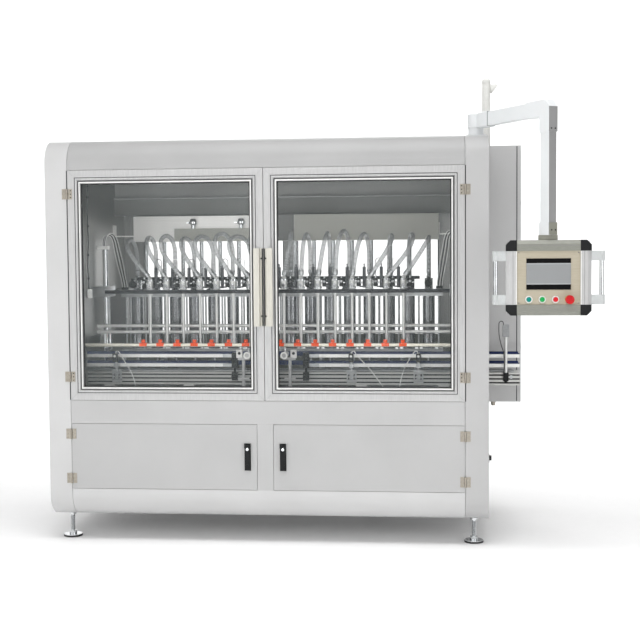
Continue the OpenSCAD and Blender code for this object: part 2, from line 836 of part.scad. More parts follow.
module rail_end(gap_x, side) {
    x = gap_x + side * rail_end_out;
    y0 = beam_y + beam_t;
    rail_y = lane_w / 2 + strip_t + rail_t;
    rod_z(x, rail_post_y, [rail_end_low[0], rail_post_top], rail_end_r);
    box([x - rail_end_w / 2, x + rail_end_w / 2], [y0, y0 + clamp_s], rail_end_low);
    box([x - rail_end_w / 2, x + rail_end_w / 2], [rail_y, y0 + clamp_s], rail_end_high);
    for (z = [low_rail_z, high_rail_z])
        box([min(gap_x - side * link_in, x), max(gap_x - side * link_in, x)], [rail_y, rail_y + link_t],
            [z_chain + z, z_chain + z + rail_h]);
}

module rail_brackets() color(c_alu) machine() translate([0, lane_y, 0]) {
    for (x = bracket_x, s = [-1, 1]) translate([x, 0, 0]) mirror([0, s < 0 ? 1 : 0, 0]) rail_bracket();
    mirror([0, 1, 0]) {
        rail_end(rail_gap_x0, 1);
        rail_end(rail_gap_x1, -1);
    }
}

// Bars across the filling space: one for the neck guides, two behind the nozzles
neck_bar_r = 6;
rear_bar_r = 9;
rear_bar_y = 70;
rear_bar_z = [205, 240];

module guide_bars() color(c_alu) machine() {
    rod_x([-in_x, in_x], neck_y, z_neck, neck_bar_r);
    for (z = rear_bar_z) rod_x([-in_x, in_x], lane_y + rear_bar_y, z_chain + z, rear_bar_r);
}

// Neck guides clamped on the front bar, one for each nozzle
module neck_guides() color(c_orange) machine() for (i = [0 : heads - 1]) {
    x = head_x(i, nozzle_pitch);
    difference() {
        box([x - 20, x + 20], [neck_y - 14, neck_y + 14], [z_neck - 9, z_neck + 9]);
        rod_x([x - 21, x + 21], neck_y, z_neck, neck_bar_r + run_fit);
    }
    union() {
        rod_z(x, neck_y, [z_neck + 9, z_neck + 12], 7);
        rod_z(x, neck_y, [z_neck + 12, z_neck + 27], 11);
    }
}

// Bottle sensors on the rail posts, and one on its own post at the outlet
outlet_eye_x = half_w + 105;
outlet_eye_y = -beam_y - beam_t - clamp_s / 2;
outlet_eye_z = [z_chain + 187, z_chain + 251];
outlet_post_r = 8;
eye_w = 26;
eye_d = 22;
eye_back = rail_post_y + clamp_s / 2;
eye_z = [z_chain + 50, z_chain + 98];

module photo_eyes() color(c_dark) machine() translate([0, lane_y, 0]) {
    for (x = bracket_x)
        box([x - eye_w / 2, x + eye_w / 2], [-eye_back - eye_d, -eye_back], eye_z);
    rod_z(outlet_eye_x, outlet_eye_y, [beam_z + 15, outlet_eye_z[0]], outlet_post_r);
    box([outlet_eye_x - 14, outlet_eye_x + 14], [outlet_eye_y - clamp_s / 2, -beam_y - beam_t],
        [beam_z + beam_h - 45, beam_z + beam_h]);
    box([outlet_eye_x - 17, outlet_eye_x + 17], [outlet_eye_y - 14, outlet_eye_y + 26], outlet_eye_z);
}

// Bottle stops in the gap of the front rails: a cylinder and a square valve on a T-shaped post
stop_x = [-135, 68];
stop_z = z_chain + 92;
stop_r = 16;
stop_l = 90;
stop_rod_r = 6;
stop_face = lane_w / 2 + 4;
stop_head_r = 13;
stop_head_t = 8;
stop_back = beam_y + beam_t + 12;
tee_y = -stop_back - stop_l / 2;
tee_r = 9;
tee_off = 27;
tee_d = 28;
tee_t = 14;
tee_foot = 60;
tee_foot_z = [z_chain - 42, z_chain - 34];
valve_off = 48;
valve_s = 34;
valve_t = 10;

module stop_cylinders() color("#9a9ea2") machine() translate([0, lane_y, 0]) for (x = stop_x) {
    side = x < 0 ? -1 : 1;
    leg_x = x + side * tee_off;
    valve_x = x + side * valve_off;
    bar_z = stop_z - stop_r;
    bar_y = [tee_y - tee_d / 2, tee_y + tee_d / 2];
    difference() {
        union() {
            rod_y(x, [-stop_back - stop_l, -stop_back], stop_z, stop_r);
            box([min(x, valve_x) - tee_r, max(x, valve_x) + tee_r], bar_y, [bar_z + 3 - tee_t, bar_z + 3]);
            rod_z(leg_x, tee_y, [z_table, bar_z], tee_r);
            box([leg_x - tee_foot / 2, leg_x + tee_foot / 2], bar_y, tee_foot_z);
            box([valve_x - valve_s / 2, valve_x + valve_s / 2], [bar_y[0], bar_y[0] + valve_t],
                [bar_z, bar_z + valve_s + 10]);
        }
        rod_y(x, [-stop_back - stop_l + 12, -stop_back + 1], stop_z, stop_rod_r + run_fit);
    }
}

module stop_rod(x) machine() translate([0, lane_y, 0]) {
    rod_y(x, [-stop_back - stop_l + 17, -stop_face - stop_head_t], stop_z, stop_rod_r);
    rod_y(x, [-stop_face - stop_head_t, -stop_face], stop_z, stop_head_r);
}

module infeed_stop() color(c_steel) stop_rod(stop_x[0]);

module outfeed_stop() color(c_steel) stop_rod(stop_x[1]);

// Feet: disc, hub and threaded stem, with a lock nut under the housing
module levelling_feet() color("#c8cacc") machine() for (s = [-1, 1], y = [post_y, rear_post_y]) {
    union() {
        rod_z(s * post_x, y, [0, 12], foot_r);
        rod_z(s * post_x, y, [12, 30], 20);
        rod_z(s * post_x, y, [30, foot_h + sheet_t + tube_t + 10], stem_r);
    }
    difference() {
        translate([s * post_x, y, foot_h - 16]) cylinder(h = 16, r = 19, $fn = 6);
        rod_z(s * post_x, y, [foot_h - 17, foot_h + 1], stem_r + seat);
    }
}

// Electrical cabinet with its hinge pins, glands and mounting plate
cab_hinge_z = [cab_z + 180, cab_z + cab_h - 180];
gland_x = half_w + 50;
gland_y = [cab_y + 30, cab_y + 80];
gland_bore = 6;
gland_r = 14;
gland_l = 24;
gland_nut = 8;
plate_off = 18;
plate_in = 50;
cab_hinge_l = 30;
cab_ear_h = 10;
cab_ear_w = 20;

module electrical_cabinet() color("#aeb0b2") machine() {
    difference() {
        box([half_w, cab_x], [cab_y, cab_y + cab_l], [cab_z, cab_z + cab_h]);
        box([half_w + cab_t, cab_x + 1], [cab_y + cab_t, cab_y + cab_l - cab_t],
            [cab_z + cab_t, cab_z + cab_h - cab_t]);
        for (y = gland_y) rod_z(gland_x, y, [cab_z - 1, cab_z + cab_t + 1], gland_bore);
    }
    box([half_w + cab_t + seat, half_w + cab_t + plate_off], [cab_y + plate_in, cab_y + cab_l - plate_in],
        [cab_z + plate_in, cab_z + cab_h - plate_in]);
    for (y = gland_y) difference() {
        union() {
            rod_z(gland_x, y, [cab_z - gland_nut, cab_z - seat], gland_r);
            rod_z(gland_x, y, [cab_z - gland_l, cab_z - gland_nut], gland_r - 3);
        }
        rod_z(gland_x, y, [cab_z - gland_l - 1, cab_z + 1], gland_bore);
    }
    for (z = cab_hinge_z) {
        rod_z(cab_pin_x, cab_pin_y, [z - cab_hinge_l - 1, z + cab_hinge_l + 1], pin_r);
        for (k = [-cab_hinge_l - cab_ear_h, cab_hinge_l]) {
            rod_z(cab_pin_x, cab_pin_y, [z + k, z + k + cab_ear_h], knuckle_r);
            box([cab_x - cab_ear_w, cab_pin_x], [cab_y + cab_l + seat, cab_pin_y],
                [z + k, z + k + cab_ear_h]);
        }
    }
}

module cabinet_door() color("#b4b6b8") machine() {
    x = [cab_x + cab_gap, cab_x + cab_gap + cab_door_d];
    l = cab_hinge_l - swing_fit;
    difference() {
        box(x, [cab_y, cab_y + cab_l], [cab_z, cab_z + cab_h]);
        box([x[0] - 1, x[1] - cab_t], [cab_y + cab_t, cab_y + cab_l - cab_t],
            [cab_z + cab_t, cab_z + cab_h - cab_t]);
    }
    for (z = cab_hinge_z) difference() {
        union() {
            rod_z(cab_pin_x, cab_pin_y, [z - l, z + l], knuckle_r);
            box([cab_pin_x - 3, cab_pin_x + 3], [cab_y + cab_l, cab_pin_y], [z - l, z + l]);
        }
        rod_z(cab_pin_x, cab_pin_y, [z - cab_hinge_l - 1, z + cab_hinge_l + 1], pin_r + run_fit);
    }
}

// Signal pole with its horn on the cabinet roof
module signal_pole() color("#f0f0ee") machine() translate([pole_x, pole_y, cab_z + cab_h]) {
    union() {
        cylinder(h = 8, r = pole_r + 1.5);
        cylinder(h = pole_h, r = pole_r);
    }
    translate([0, 0, pole_h - horn_drop]) rotate([0, 90, 0]) difference() {
        union() {
            translate([0, 0, pole_r - 2]) cylinder(h = 14, r = 9);
            translate([0, 0, pole_r + 12]) cylinder(h = horn_l, r1 = 12, r2 = horn_r);
        }
        translate([0, 0, pole_r + 16]) cylinder(h = horn_l - 3, r1 = 9, r2 = horn_r - 3);
        rotate([0, 90, 0]) translate([0, 0, -horn_r]) cylinder(h = 2 * horn_r, r = pole_r);
    }
}

// Swivel arm pedestal on the right end housing
module arm_pedestal() color("#e9eaeb") machine() translate([arm_x, arm_y, z_top]) {
    union() {
        box([-50, 50], [-50, 50], [0, 8]);
        cylinder(h = pedestal_h - swing_fit, r = hub_r - 4);
        cylinder(h = pedestal_h + arm_pin_h, r = arm_pin_r);
    }
}

sleeve_t = 4;
sleeve_h = 60;
elbow_l = 150;
elbow_drop = 80;
elbow_cut = 50;
elbow_in = 28;

// Arm, elbow and drop tube, hollow for the cable, with cast sleeves round the joints
module hmi_arm() color("#eceded") machine() translate([arm_x, arm_y, 0]) rotate([0, 0, -arm_angle])
    difference() {
        t = arm_t / 2;
        h = arm_h / 2;
        end = [arm_l - h - sleeve_t, arm_l + h + sleeve_t];
        wide = [-t - sleeve_t, t + sleeve_t];
        top = z_arm + h + sleeve_t;
        union() {
            box([arm_l - elbow_l, end[1]], wide, [z_arm - h - sleeve_t, top]);
            box(end, wide, [z_arm - h - elbow_drop, top]);
            box(end, wide, [z_coupling, z_coupling + sleeve_h]);
            rod_z(0, 0, [z_arm - h, z_arm + h], hub_r);
            box([0, arm_l + h], [-t, t], [z_arm - h, z_arm + h]);
            box([arm_l - h, arm_l + h], [-t, t], [z_coupling, z_arm + h]);
            rod_z(arm_l, 0, [z_coupling - swivel_l, z_coupling], swivel_r);
        }
        rod_z(0, 0, [z_arm - h - 1, z_arm - h + arm_pin_h + 3], arm_pin_r + run_fit);
        box([hub_r + 6, arm_l + h - arm_wall - elbow_in], [-t + arm_wall, t - arm_wall],
            [z_arm - h + arm_wall, z_arm + h - arm_wall]);
        box([arm_l - h + arm_wall, arm_l + h - arm_wall], [-t + arm_wall, t - arm_wall],
            [z_coupling + 10, z_arm]);
        rod_z(arm_l, 0, [z_coupling - swivel_l - 1, z_coupling + 11], swivel_r / 2);
        translate([end[1], 0, top]) rotate([0, 45, 0])
            cube([elbow_cut, arm_t * 2, elbow_cut], center = true);
    }

// Operator panel, built about its own swivel axis
module panel() machine() translate([hmi_x, hmi_y, 0]) children();

module hmi_case() color("#c7c9ca") panel() {
    x = hmi_w / 2 - case_in;
    z = [z_hmi + case_in, z_hmi + hmi_h - case_in];
    difference() {
        union() {
            box([-x, x], [-frame_back, hmi_case_d], z);
            box([-coupling_w / 2, coupling_w / 2], [-frame_back, coupling_y[1]], [z[1], z_hmi + hmi_h]);
            box([-coupling_w / 2, coupling_w / 2], coupling_y, [z_hmi + hmi_h, z_coupling - swing_fit]);
        }
        box([-x + case_t, x - case_t], [-frame_back - 1, hmi_case_d - case_t],
            [z[0] + case_t, z[1] - case_t]);
        rod_z(0, 0, [z[1] - case_t - 1, z_coupling + 1], swivel_r + run_fit);
    }
}

// Aluminium frame: four profiles between four moulded corners
module hmi_frame() color(c_alu) panel() {
    x = hmi_w / 2;
    w = hmi_frame_w;
    d = hmi_frame_d;
    for (s = [-1, 1]) flip(s) {
        side_bar([x, x - bevel_x, x - w, x - w, x], [bevel_y - d, -d, -d, -frame_back, -frame_back],
            [z_hmi + w + seat, z_hmi + hmi_h - w - seat]);
        for (e = [0, 1]) translate([0, 0, e * (2 * z_hmi + hmi_h)]) mirror([0, 0, e]) corner_block();
    }
    for (e = [0, 1]) translate([0, 0, e * (2 * z_hmi + hmi_h)]) mirror([0, 0, e]) rail_bar();
}

module side_bar(px, py, z) translate([0, 0, z[0]]) linear_extrude(height = z[1] - z[0])
    polygon([for (i = [0 : len(px) - 1]) [px[i], py[i]]]);

module rail_bar() {
    w = hmi_frame_w;
    d = hmi_frame_d;
    l = hmi_w - 2 * w - 2 * seat;
    translate([-l / 2, 0, z_hmi]) rotate([90, 0, 90]) linear_extrude(height = l)
        polygon([[-frame_back, 0], [bevel_y - d, 0], [-d, bevel_x], [-d, w], [-frame_back, w]]);
}

module corner_block() {
    x = hmi_w / 2;
    w = hmi_frame_w;
    translate([0, -frame_back, 0]) rotate([90, 0, 0]) linear_extrude(height = hmi_frame_d - frame_back)
        polygon([[x - w, z_hmi], [x - corner_cut, z_hmi], [x, z_hmi + corner_cut], [x, z_hmi + w],
            [x - w, z_hmi + w]]);
}

// Face plate with the screen and the bezels of the buttons
function button_pos(k) = button_x + k * button_pitch;

module bezel(x, y, z) difference() {
    union() {
        rod_y(x, [y - bezel_h, y - seat], z, bezel_r);
        rod_y(x, [y - bezel_h, y + face_t + bezel_l], z, sleeve_r - seat);
        rod_y(x, [y + face_t + seat, y + face_t + bezel_l], z, bezel_r);
    }
    rod_y(x, [y - bezel_h - 1, y + face_t + bezel_l + 1], z, button_r + run_fit);
}

module hmi_front() color("#cbc3b4") panel() {
    x = hmi_w / 2 - hmi_frame_w;
    z = [z_hmi + hmi_frame_w, z_hmi + hmi_h - hmi_frame_w];
    y = -hmi_frame_d + face_in;
    zb = z_mid - button_drop;
    zs = [z_mid + screen_up - screen_h / 2, z_mid + screen_up + screen_h / 2];
    difference() {
        box([-x, x], [y, y + face_t], z);
        box([-screen_w / 2, screen_w / 2], [y - 1, y + face_t + 1], zs);
        for (k = [0 : 3]) rod_y(button_pos(k), [y - 1, y + face_t + 1], zb, sleeve_r);
    }
    box([seat - screen_w / 2, screen_w / 2 - seat], [y - screen_out, y + face_t],
        [zs[0] + seat, zs[1] - seat]);
    for (k = [0 : 3]) bezel(button_pos(k), y, zb);
}

module hmi_handles() color("#dcdedf") panel() for (s = [-1, 1]) flip(s) {
    x = hmi_w / 2;
    xr = x + handle_out - handle_bend_r;
    y = -frame_back - handle_rod_r;
    z = [z_hmi + hmi_frame_w, z_hmi + hmi_h - hmi_frame_w - handle_block];
    for (e = z) union() {
        box([x, xr], [y - handle_rod_r, y + handle_rod_r], [e, e + handle_block]);
        rod_z(xr, y, [e, e + handle_block], handle_bend_r);
    }
    rod_z(xr, y, [z[0] + handle_block, z[1]], handle_rod_r);
}

module push_button(k) panel() {
    y = -hmi_frame_d + face_in;
    rod_y(button_pos(k), [y - button_out, y + face_t + button_l], z_mid - button_drop, button_r);
}

module start_button() color("#0c8f86") push_button(0);

module reset_button() color("#12b45a") push_button(1);

module stop_button() color("#d8121c") push_button(2);

module emergency_stop() color("#d8121c") panel() {
    y = -hmi_frame_d;
    zb = z_mid - button_drop;
    rod_y(button_pos(3), [y - estop_out + estop_h, y + face_in + face_t + button_l], zb, button_r);
    rod_y(button_pos(3), [y - estop_out, y - estop_out + estop_h], zb, estop_r);
}

// Hinges: leaf, end knuckles and pin on the housing, leaf and middle knuckle on the door
upper_hinge_z = [z_glass + hinge_in, z_cowl - hinge_in];
base_hinge_z = [z_door + base_hinge_in, z_waist - base_hinge_in];
knuckle_l = hinge_l / 3;

module fixed_leaf(z) union() {
    rod_z(in_x, pin_y, [z - hinge_l / 2, z + hinge_l / 2], pin_r);
    for (k = [-1, 1])
        rod_z(in_x, pin_y, [z + k * knuckle_l - knuckle_l / 2, z + k * knuckle_l + knuckle_l / 2], knuckle_r);
    difference() {
        box([in_x, in_x + leaf_w], [-leaf_t, 0], [z - hinge_l / 2, z + hinge_l / 2]);
        box([in_x - 1, in_x + knuckle_r + 1], [-leaf_t - 1, 1], [z - knuckle_l / 2, z + knuckle_l / 2]);
    }
}

module door_leaf(z) difference() {
    union() {
        rod_z(in_x, pin_y, [z - knuckle_l / 2 + swing_fit, z + knuckle_l / 2 - swing_fit], knuckle_r);
        box([in_x - leaf_w, in_x], [-leaf_t, -seat],
            [z - knuckle_l / 2 + swing_fit, z + knuckle_l / 2 - swing_fit]);
        box([in_x - leaf_w, in_x - knuckle_r - 1], [-leaf_t, -seat], [z - hinge_l / 2, z + hinge_l / 2]);
    }
    rod_z(in_x, pin_y, [z - hinge_l, z + hinge_l], pin_r + run_fit);
}

module hinge_frame_leaves() color("#a89b84") machine() for (s = [-1, 1]) flip(s)
    for (z = concat(upper_hinge_z, base_hinge_z)) fixed_leaf(z);

// Glass doors: four mitred profiles round a pane held in their groove
door_x = [door_gap / 2, in_x - seam];
door_z = [z_glass + seam, z_cowl - seam];

module stile_section() polygon([[0, 0], [stile_w - 20, 0], [stile_w - 13, 6], [stile_w, 6],
    [stile_w, glass_y], [stile_w - groove_d, glass_y], [stile_w - groove_d, glass_y + glass_t],
    [stile_w, glass_y + glass_t], [stile_w, stile_d], [0, stile_d]]);

// One member along +Z from the origin, its outer edge on X = 0, cut at 45 degrees at both ends
module mitred(l) intersection() {
    linear_extrude(height = l) stile_section();
    translate([0, stile_d + 1, 0]) rotate([90, 0, 0]) linear_extrude(height = stile_d + 2)
        polygon([[0, seat], [stile_w, stile_w + seat], [stile_w, l - stile_w - seat], [0, l - seat]]);
}

module door_frame() {
    w = door_x[1] - door_x[0];
    h = door_z[1] - door_z[0];
    translate([door_x[0], 0, door_z[0]]) {
        mitred(h);
        translate([w, 0, 0]) mirror([1, 0, 0]) mitred(h);
        translate([w, 0, 0]) rotate([0, -90, 0]) mitred(w);
        translate([w, 0, h]) rotate([0, -90, 0]) mirror([1, 0, 0]) mitred(w);
    }
}

module door_glass() box([door_x[0] + stile_w - groove_d, door_x[1] - stile_w + groove_d],
    [glass_y, glass_y + glass_t], [door_z[0] + stile_w - groove_d, door_z[1] - stile_w + groove_d]);

// Pull handle: flange, riser and rolled lip in one profile, with the door's hinge leaves
module door_handle() {
    x = door_x[0] + 1;
    f = flange_w;
    t = plate_thin;
    translate([x, 0, z_glass + handle_z - handle_l / 2]) linear_extrude(height = handle_l)
        polygon([[0, 0], [0, -t], [f, -t], [f, -lip_out], [f + lip_w, -lip_out],
            [f + lip_w, -lip_out + 9], [f + lip_w - t, -lip_out + 9], [f + lip_w - t, -lip_out + t],
            [f + t, -lip_out + t], [f + t, 0]]);
    for (z = upper_hinge_z) door_leaf(z);
}

module left_door_frame() color(c_alu) machine() flip(-1) door_frame();

module left_door_glass() color(c_glass) machine() flip(-1) door_glass();

module left_door_handle() color("#e2dccd") machine() flip(-1) door_handle();

module right_door_frame() color(c_alu) machine() door_frame();

module right_door_glass() color(c_glass) machine() door_glass();

module right_door_handle() color("#e2dccd") machine() door_handle();

// Base doors with hinge leaves and the fixed plate of the latch
module base_door() {
    x = [base_post_w / 2 + seam, in_x - seam];
    z = [z_door + seam, z_waist - seam];
    lx = [latch_x, latch_x + latch_w];
    difference() {
        box(x, [0, base_door_d], z);
        box([x[0] + sheet_t, x[1] - sheet_t], [sheet_t, base_door_d + 1], [z[0] + sheet_t, z[1] - sheet_t]);
    }
    for (k = base_hinge_z) door_leaf(k);
    union() {
        box(lx, [-latch_t, -seat], [latch_z, latch_z + latch_h]);
        for (e = [[lx[0], lx[0] + latch_t], [lx[1] - latch_t, lx[1]]])
            box(e, [latch_pin_y - ear_out, -latch_t], [latch_z + latch_h - ear_h, latch_z + latch_h]);
        rod_x(lx, latch_pin_y, latch_z + latch_h - latch_pin_in, latch_pin_r);
    }
}

module latch_lever() {
    x = [latch_x + latch_t + swing_fit, latch_x + latch_w - latch_t - swing_fit];
    zp = latch_z + latch_h - latch_pin_in;
    difference() {
        union() {
            rod_x(x, latch_pin_y, zp, lever_r);
            box(x, [latch_pin_y - lever_r + 1, latch_pin_y + lever_r - 1], [latch_z + 6, zp]);
            rod_y((x[0] + x[1]) / 2, [latch_pin_y - lever_r - 1, latch_pin_y], latch_z + 26, 9);
        }
        rod_x([x[0] - 1, x[1] + 1], latch_pin_y, zp, latch_pin_r + run_fit);
    }
}

module left_base_door() color("#cbcccd") machine() flip(-1) base_door();

module right_base_door() color("#cbcccd") machine() base_door();

module left_latch_lever() color(c_dark) machine() flip(-1) latch_lever();

module right_latch_lever() color(c_dark) machine() latch_lever();

// Nozzle bar between the two lift blocks, with the lift rods
module nozzle_bar() color(c_steel) machine() {
    x = lift_x - block_w / 2;
    difference() {
        box([-x + seat, x - seat], [lane_y - bar_d / 2, lane_y + bar_d / 2], [z_bar, z_bar + bar_t]);
        for (i = [0 : heads - 1])
            rod_z(head_x(i, nozzle_pitch), lane_y, [z_bar - 1, z_bar + bar_t + 1], nozzle_r + run_fit);
    }
    for (s = [-1, 1]) flip(s) {
        difference() {
            box([x, x + block_w], [lane_y - bar_d / 2, lift_cyl_y + 20], [z_block, z_block + block_h]);
            rod_z(lift_x, lift_y, [z_block - 1, z_block + block_h + 1], lift_col_r + run_fit);
        }
        rod_z(lift_x, lift_cyl_y, [z_table + 60, z_block - seat], lift_rod_r);
    }
}

// Nozzles: tube through the bar, collar under it, valve and hose tail above it
module nozzles() color("#d9dbdc") machine() for (i = [0 : heads - 1]) {
    x = head_x(i, nozzle_pitch);
    difference() {
        union() {
            rod_z(x, lane_y, [z_tip + 30, z_bar + bar_t], nozzle_r);
            rod_z(x, lane_y, [z_tip, z_tip + 30], nozzle_r - 2);
            rod_z(x, lane_y, [z_bar - 10, z_bar], nozzle_r + 6);
        }
        rod_z(x, lane_y, [z_tip - 1, z_bar + bar_t + 1], nozzle_r - 4);
    }
    union() {
        rod_z(x, lane_y, [z_bar + bar_t, z_hose - 8], 19);
        rod_y(x, [lane_y - 38, lane_y], z_bar + bar_t + 24, 7);
        translate([x, lane_y, z_hose]) sphere(r = ball_r);
        at_nozzle(i) cylinder(h = barb_l, r = barb_r);
    }
}

// Beam that drives all pistons, with the actuator rod
module drive_beam() color(c_steel) machine() {
    z = z_table + beam_gap;
    x = head_x(heads - 1, cyl_pitch) + 40;
    box([-x, x], [cyl_y - drive_d / 2, cyl_y + drive_d / 2], [z, z + drive_t]);
    rod_z(0, cyl_y, [z_glass - actuator_l + 40, z - seat], actuator_rod_r);
}

module pistons() color(c_alu) machine() for (i = [0 : heads - 1]) union() {
    x = head_x(i, cyl_pitch);
    rod_z(x, cyl_y, [z_table + beam_gap + drive_t, z_cyl + 10], rod_r);
    rod_z(x, cyl_y, [z_cyl + 10, z_cyl + 50], cyl_r - run_fit);
}

left_end_housing();
right_end_housing();
top_cover();
bottom_cover();
frame_tubes();
machine_table();
waist_panels();
rear_wall();
rear_glass();
inner_panels();
product_tank();
cylinder_stand();
cylinder_tubes();
dosing_valves();
feed_tubes();
product_hoses();
lift_units();
drive_actuator();
conveyor_beams();
conveyor_chain();
guide_rails();
rail_strips();
rail_brackets();
guide_bars();
neck_guides();
photo_eyes();
stop_cylinders();
levelling_feet();
electrical_cabinet();
signal_pole();
arm_pedestal();
hinge_frame_leaves();
left_door_frame();
left_door_glass();
left_door_handle();
right_door_frame();
right_door_glass();
right_door_handle();
left_base_door();
right_base_door();
left_latch_lever();
right_latch_lever();
cabinet_door();
hmi_arm();
hmi_case();
hmi_frame();
hmi_front();
hmi_handles();
start_button();
reset_button();
stop_button();
emergency_stop();
nozzle_bar();
nozzles();
drive_beam();
pistons();
drive_drum();
idler_drum();
infeed_stop();
outfeed_stop();
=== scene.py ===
# %% [markdown]
# # An inline piston liquid filler
# The machine is a glass-doored housing over a conveyor. Sixteen dosing cylinders stand behind a
# row of sixteen nozzles, and a clear hose joins each pair. The solid model already holds every
# sheet, bar, door and button at its real size, so this lesson loads it as a fixed frame and adds
# what a solid model leaves out: finishes, hoses, clamps, gaskets, screws and cables.

# %% Load the frame
import math

import bpy
from mathutils import Matrix, Vector


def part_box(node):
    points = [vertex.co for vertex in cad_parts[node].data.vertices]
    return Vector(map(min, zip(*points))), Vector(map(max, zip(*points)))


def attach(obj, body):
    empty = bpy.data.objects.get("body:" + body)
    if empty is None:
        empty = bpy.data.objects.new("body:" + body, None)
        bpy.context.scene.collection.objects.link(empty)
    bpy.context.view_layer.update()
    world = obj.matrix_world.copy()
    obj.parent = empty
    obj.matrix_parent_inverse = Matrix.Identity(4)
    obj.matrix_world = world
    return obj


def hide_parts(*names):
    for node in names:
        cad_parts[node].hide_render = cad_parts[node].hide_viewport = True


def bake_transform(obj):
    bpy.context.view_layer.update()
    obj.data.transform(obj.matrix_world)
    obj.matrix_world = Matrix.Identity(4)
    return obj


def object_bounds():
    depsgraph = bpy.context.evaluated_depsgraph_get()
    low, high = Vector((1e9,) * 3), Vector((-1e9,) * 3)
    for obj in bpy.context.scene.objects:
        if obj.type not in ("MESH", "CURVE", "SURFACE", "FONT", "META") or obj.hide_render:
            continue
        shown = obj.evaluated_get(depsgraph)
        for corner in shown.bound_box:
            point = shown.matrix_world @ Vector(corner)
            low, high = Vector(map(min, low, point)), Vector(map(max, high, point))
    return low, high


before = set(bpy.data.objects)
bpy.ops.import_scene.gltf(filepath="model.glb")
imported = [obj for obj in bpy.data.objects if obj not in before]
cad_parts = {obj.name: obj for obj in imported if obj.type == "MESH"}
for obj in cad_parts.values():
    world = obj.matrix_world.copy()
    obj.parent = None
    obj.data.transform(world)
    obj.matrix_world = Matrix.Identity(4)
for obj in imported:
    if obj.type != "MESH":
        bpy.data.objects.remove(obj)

MM = 0.001
solid_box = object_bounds()

# %% [markdown]
# A maker measures this machine from the middle of its housing, from its front face and from the
# floor. The levelling feet stand evenly about the middle, and the waist panel is the front face,
# so their boxes give the two offsets, and every place below can be given in shop millimetres.

# %% Shop millimetres to scene metres
feet_low, feet_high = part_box("levelling_feet")
MIDDLE_X = (feet_low[0] + feet_high[0]) / 2
FRONT_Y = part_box("waist_panels")[0][1]


def spot(x, y, z):
    """The scene point of a place in shop millimetres."""
    return Vector((MIDDLE_X + x * MM, FRONT_Y + y * MM, z * MM))


print("shop zero is at", [round(v, 4) for v in spot(0, 0, 0)])

# %% [markdown]
# The photograph was taken a little right of the middle, about six metres away, at chest height.
# A camera matched to it makes the render comparable point by point. Its three turns are built
# from the viewing direction, so no constraint or target object is needed.

# %% Camera
CAMERA_AT = (0.6871, -6.5520, 1.5204)
YAW, PITCH, ROLL = (math.radians(a) for a in (-5.659, -3.108, -0.422))
ahead = Vector((math.sin(YAW) * math.cos(PITCH), math.cos(YAW) * math.cos(PITCH), math.sin(PITCH)))
level = Vector((math.cos(YAW), -math.sin(YAW), 0))
upright = level.cross(ahead)
across = level * math.cos(ROLL) + upright * math.sin(ROLL)
upward = upright * math.cos(ROLL) - level * math.sin(ROLL)
camera = bpy.data.objects.new("camera", bpy.data.cameras.new("camera"))
bpy.context.scene.collection.objects.link(camera)
camera.data.sensor_width = 36
camera.data.lens = 67.31
camera.data.clip_end = 200
camera.matrix_world = Matrix((across, upward, -ahead)).transposed().to_4x4()
camera.location = CAMERA_AT
bpy.context.scene.camera = camera
print("camera at", CAMERA_AT, "with a", camera.data.lens, "mm lens")

# %% [markdown]
# Every finish is a small tree of nodes. One function adds a node, sets it and links it, and one
# turns the colour that a paint card gives, an sRGB hex value, into the linear light that a shader
# works in. Patterns read Object coordinates, which are metres here, so a noise whose grains are
# `n` millimetres wide has a scale of 1000 / n.


# %% Helpers for finishes
def linear(hex_colour):
    """Linear RGBA of an sRGB hex colour."""
    parts = [int(hex_colour[i:i + 2], 16) / 255 for i in (1, 3, 5)]
    return [c / 12.92 if c < 0.04045 else ((c + 0.055) / 1.055) ** 2.4 for c in parts] + [1.0]


def add(tree, kind, inputs=None, **settings):
    """Add a node, set its properties, and give each named input a value or a link."""
    node = tree.nodes.new(kind)
    for name, value in settings.items():
        setattr(node, name, value)
    for name, value in (inputs or {}).items():
        if isinstance(value, bpy.types.NodeSocket):
            tree.links.new(value, node.inputs[name])
        else:
            node.inputs[name].default_value = value
    return node


def new_finish(name):
    """A material with its tree, its shader and the place of each point in metres."""
    material = bpy.data.materials.new(name)
    material.use_nodes = True
    tree = material.node_tree
    place = add(tree, "ShaderNodeTexCoord").outputs["Object"]
    return material, tree, tree.nodes["Principled BSDF"], place


def grain(tree, place, sizes):
    """Noise whose grains are as wide as the three sizes, in millimetres."""
    stretch = add(tree, "ShaderNodeMapping", {"Vector": place, "Scale": [1000 / s for s in sizes]})
    noise = {"Vector": stretch.outputs[0], "Scale": 1.0, "Detail": 3.0}
    return add(tree, "ShaderNodeTexNoise", noise).outputs["Fac"]


def between(tree, fac, low, high):
    """A number that runs from low to high as the noise goes from its darks to its lights."""
    spread = {"Value": fac, "From Min": 0.3, "From Max": 0.7, "To Min": low, "To Max": high}
    return add(tree, "ShaderNodeMapRange", spread).outputs["Result"]


def two_tone(tree, fac, dark, light):
    """A colour between two hex colours."""
    blend = add(tree, "ShaderNodeMix", {"Factor": fac}, data_type="RGBA")
    blend.inputs[6].default_value = linear(dark)
    blend.inputs[7].default_value = linear(light)
    return blend.outputs[2]


# %% [markdown]
# Most finishes are made alike: one fine noise drives two tones of colour, the gloss and a slight
# relief. Paint differs in one way, because its tone drifts more slowly than its skin.


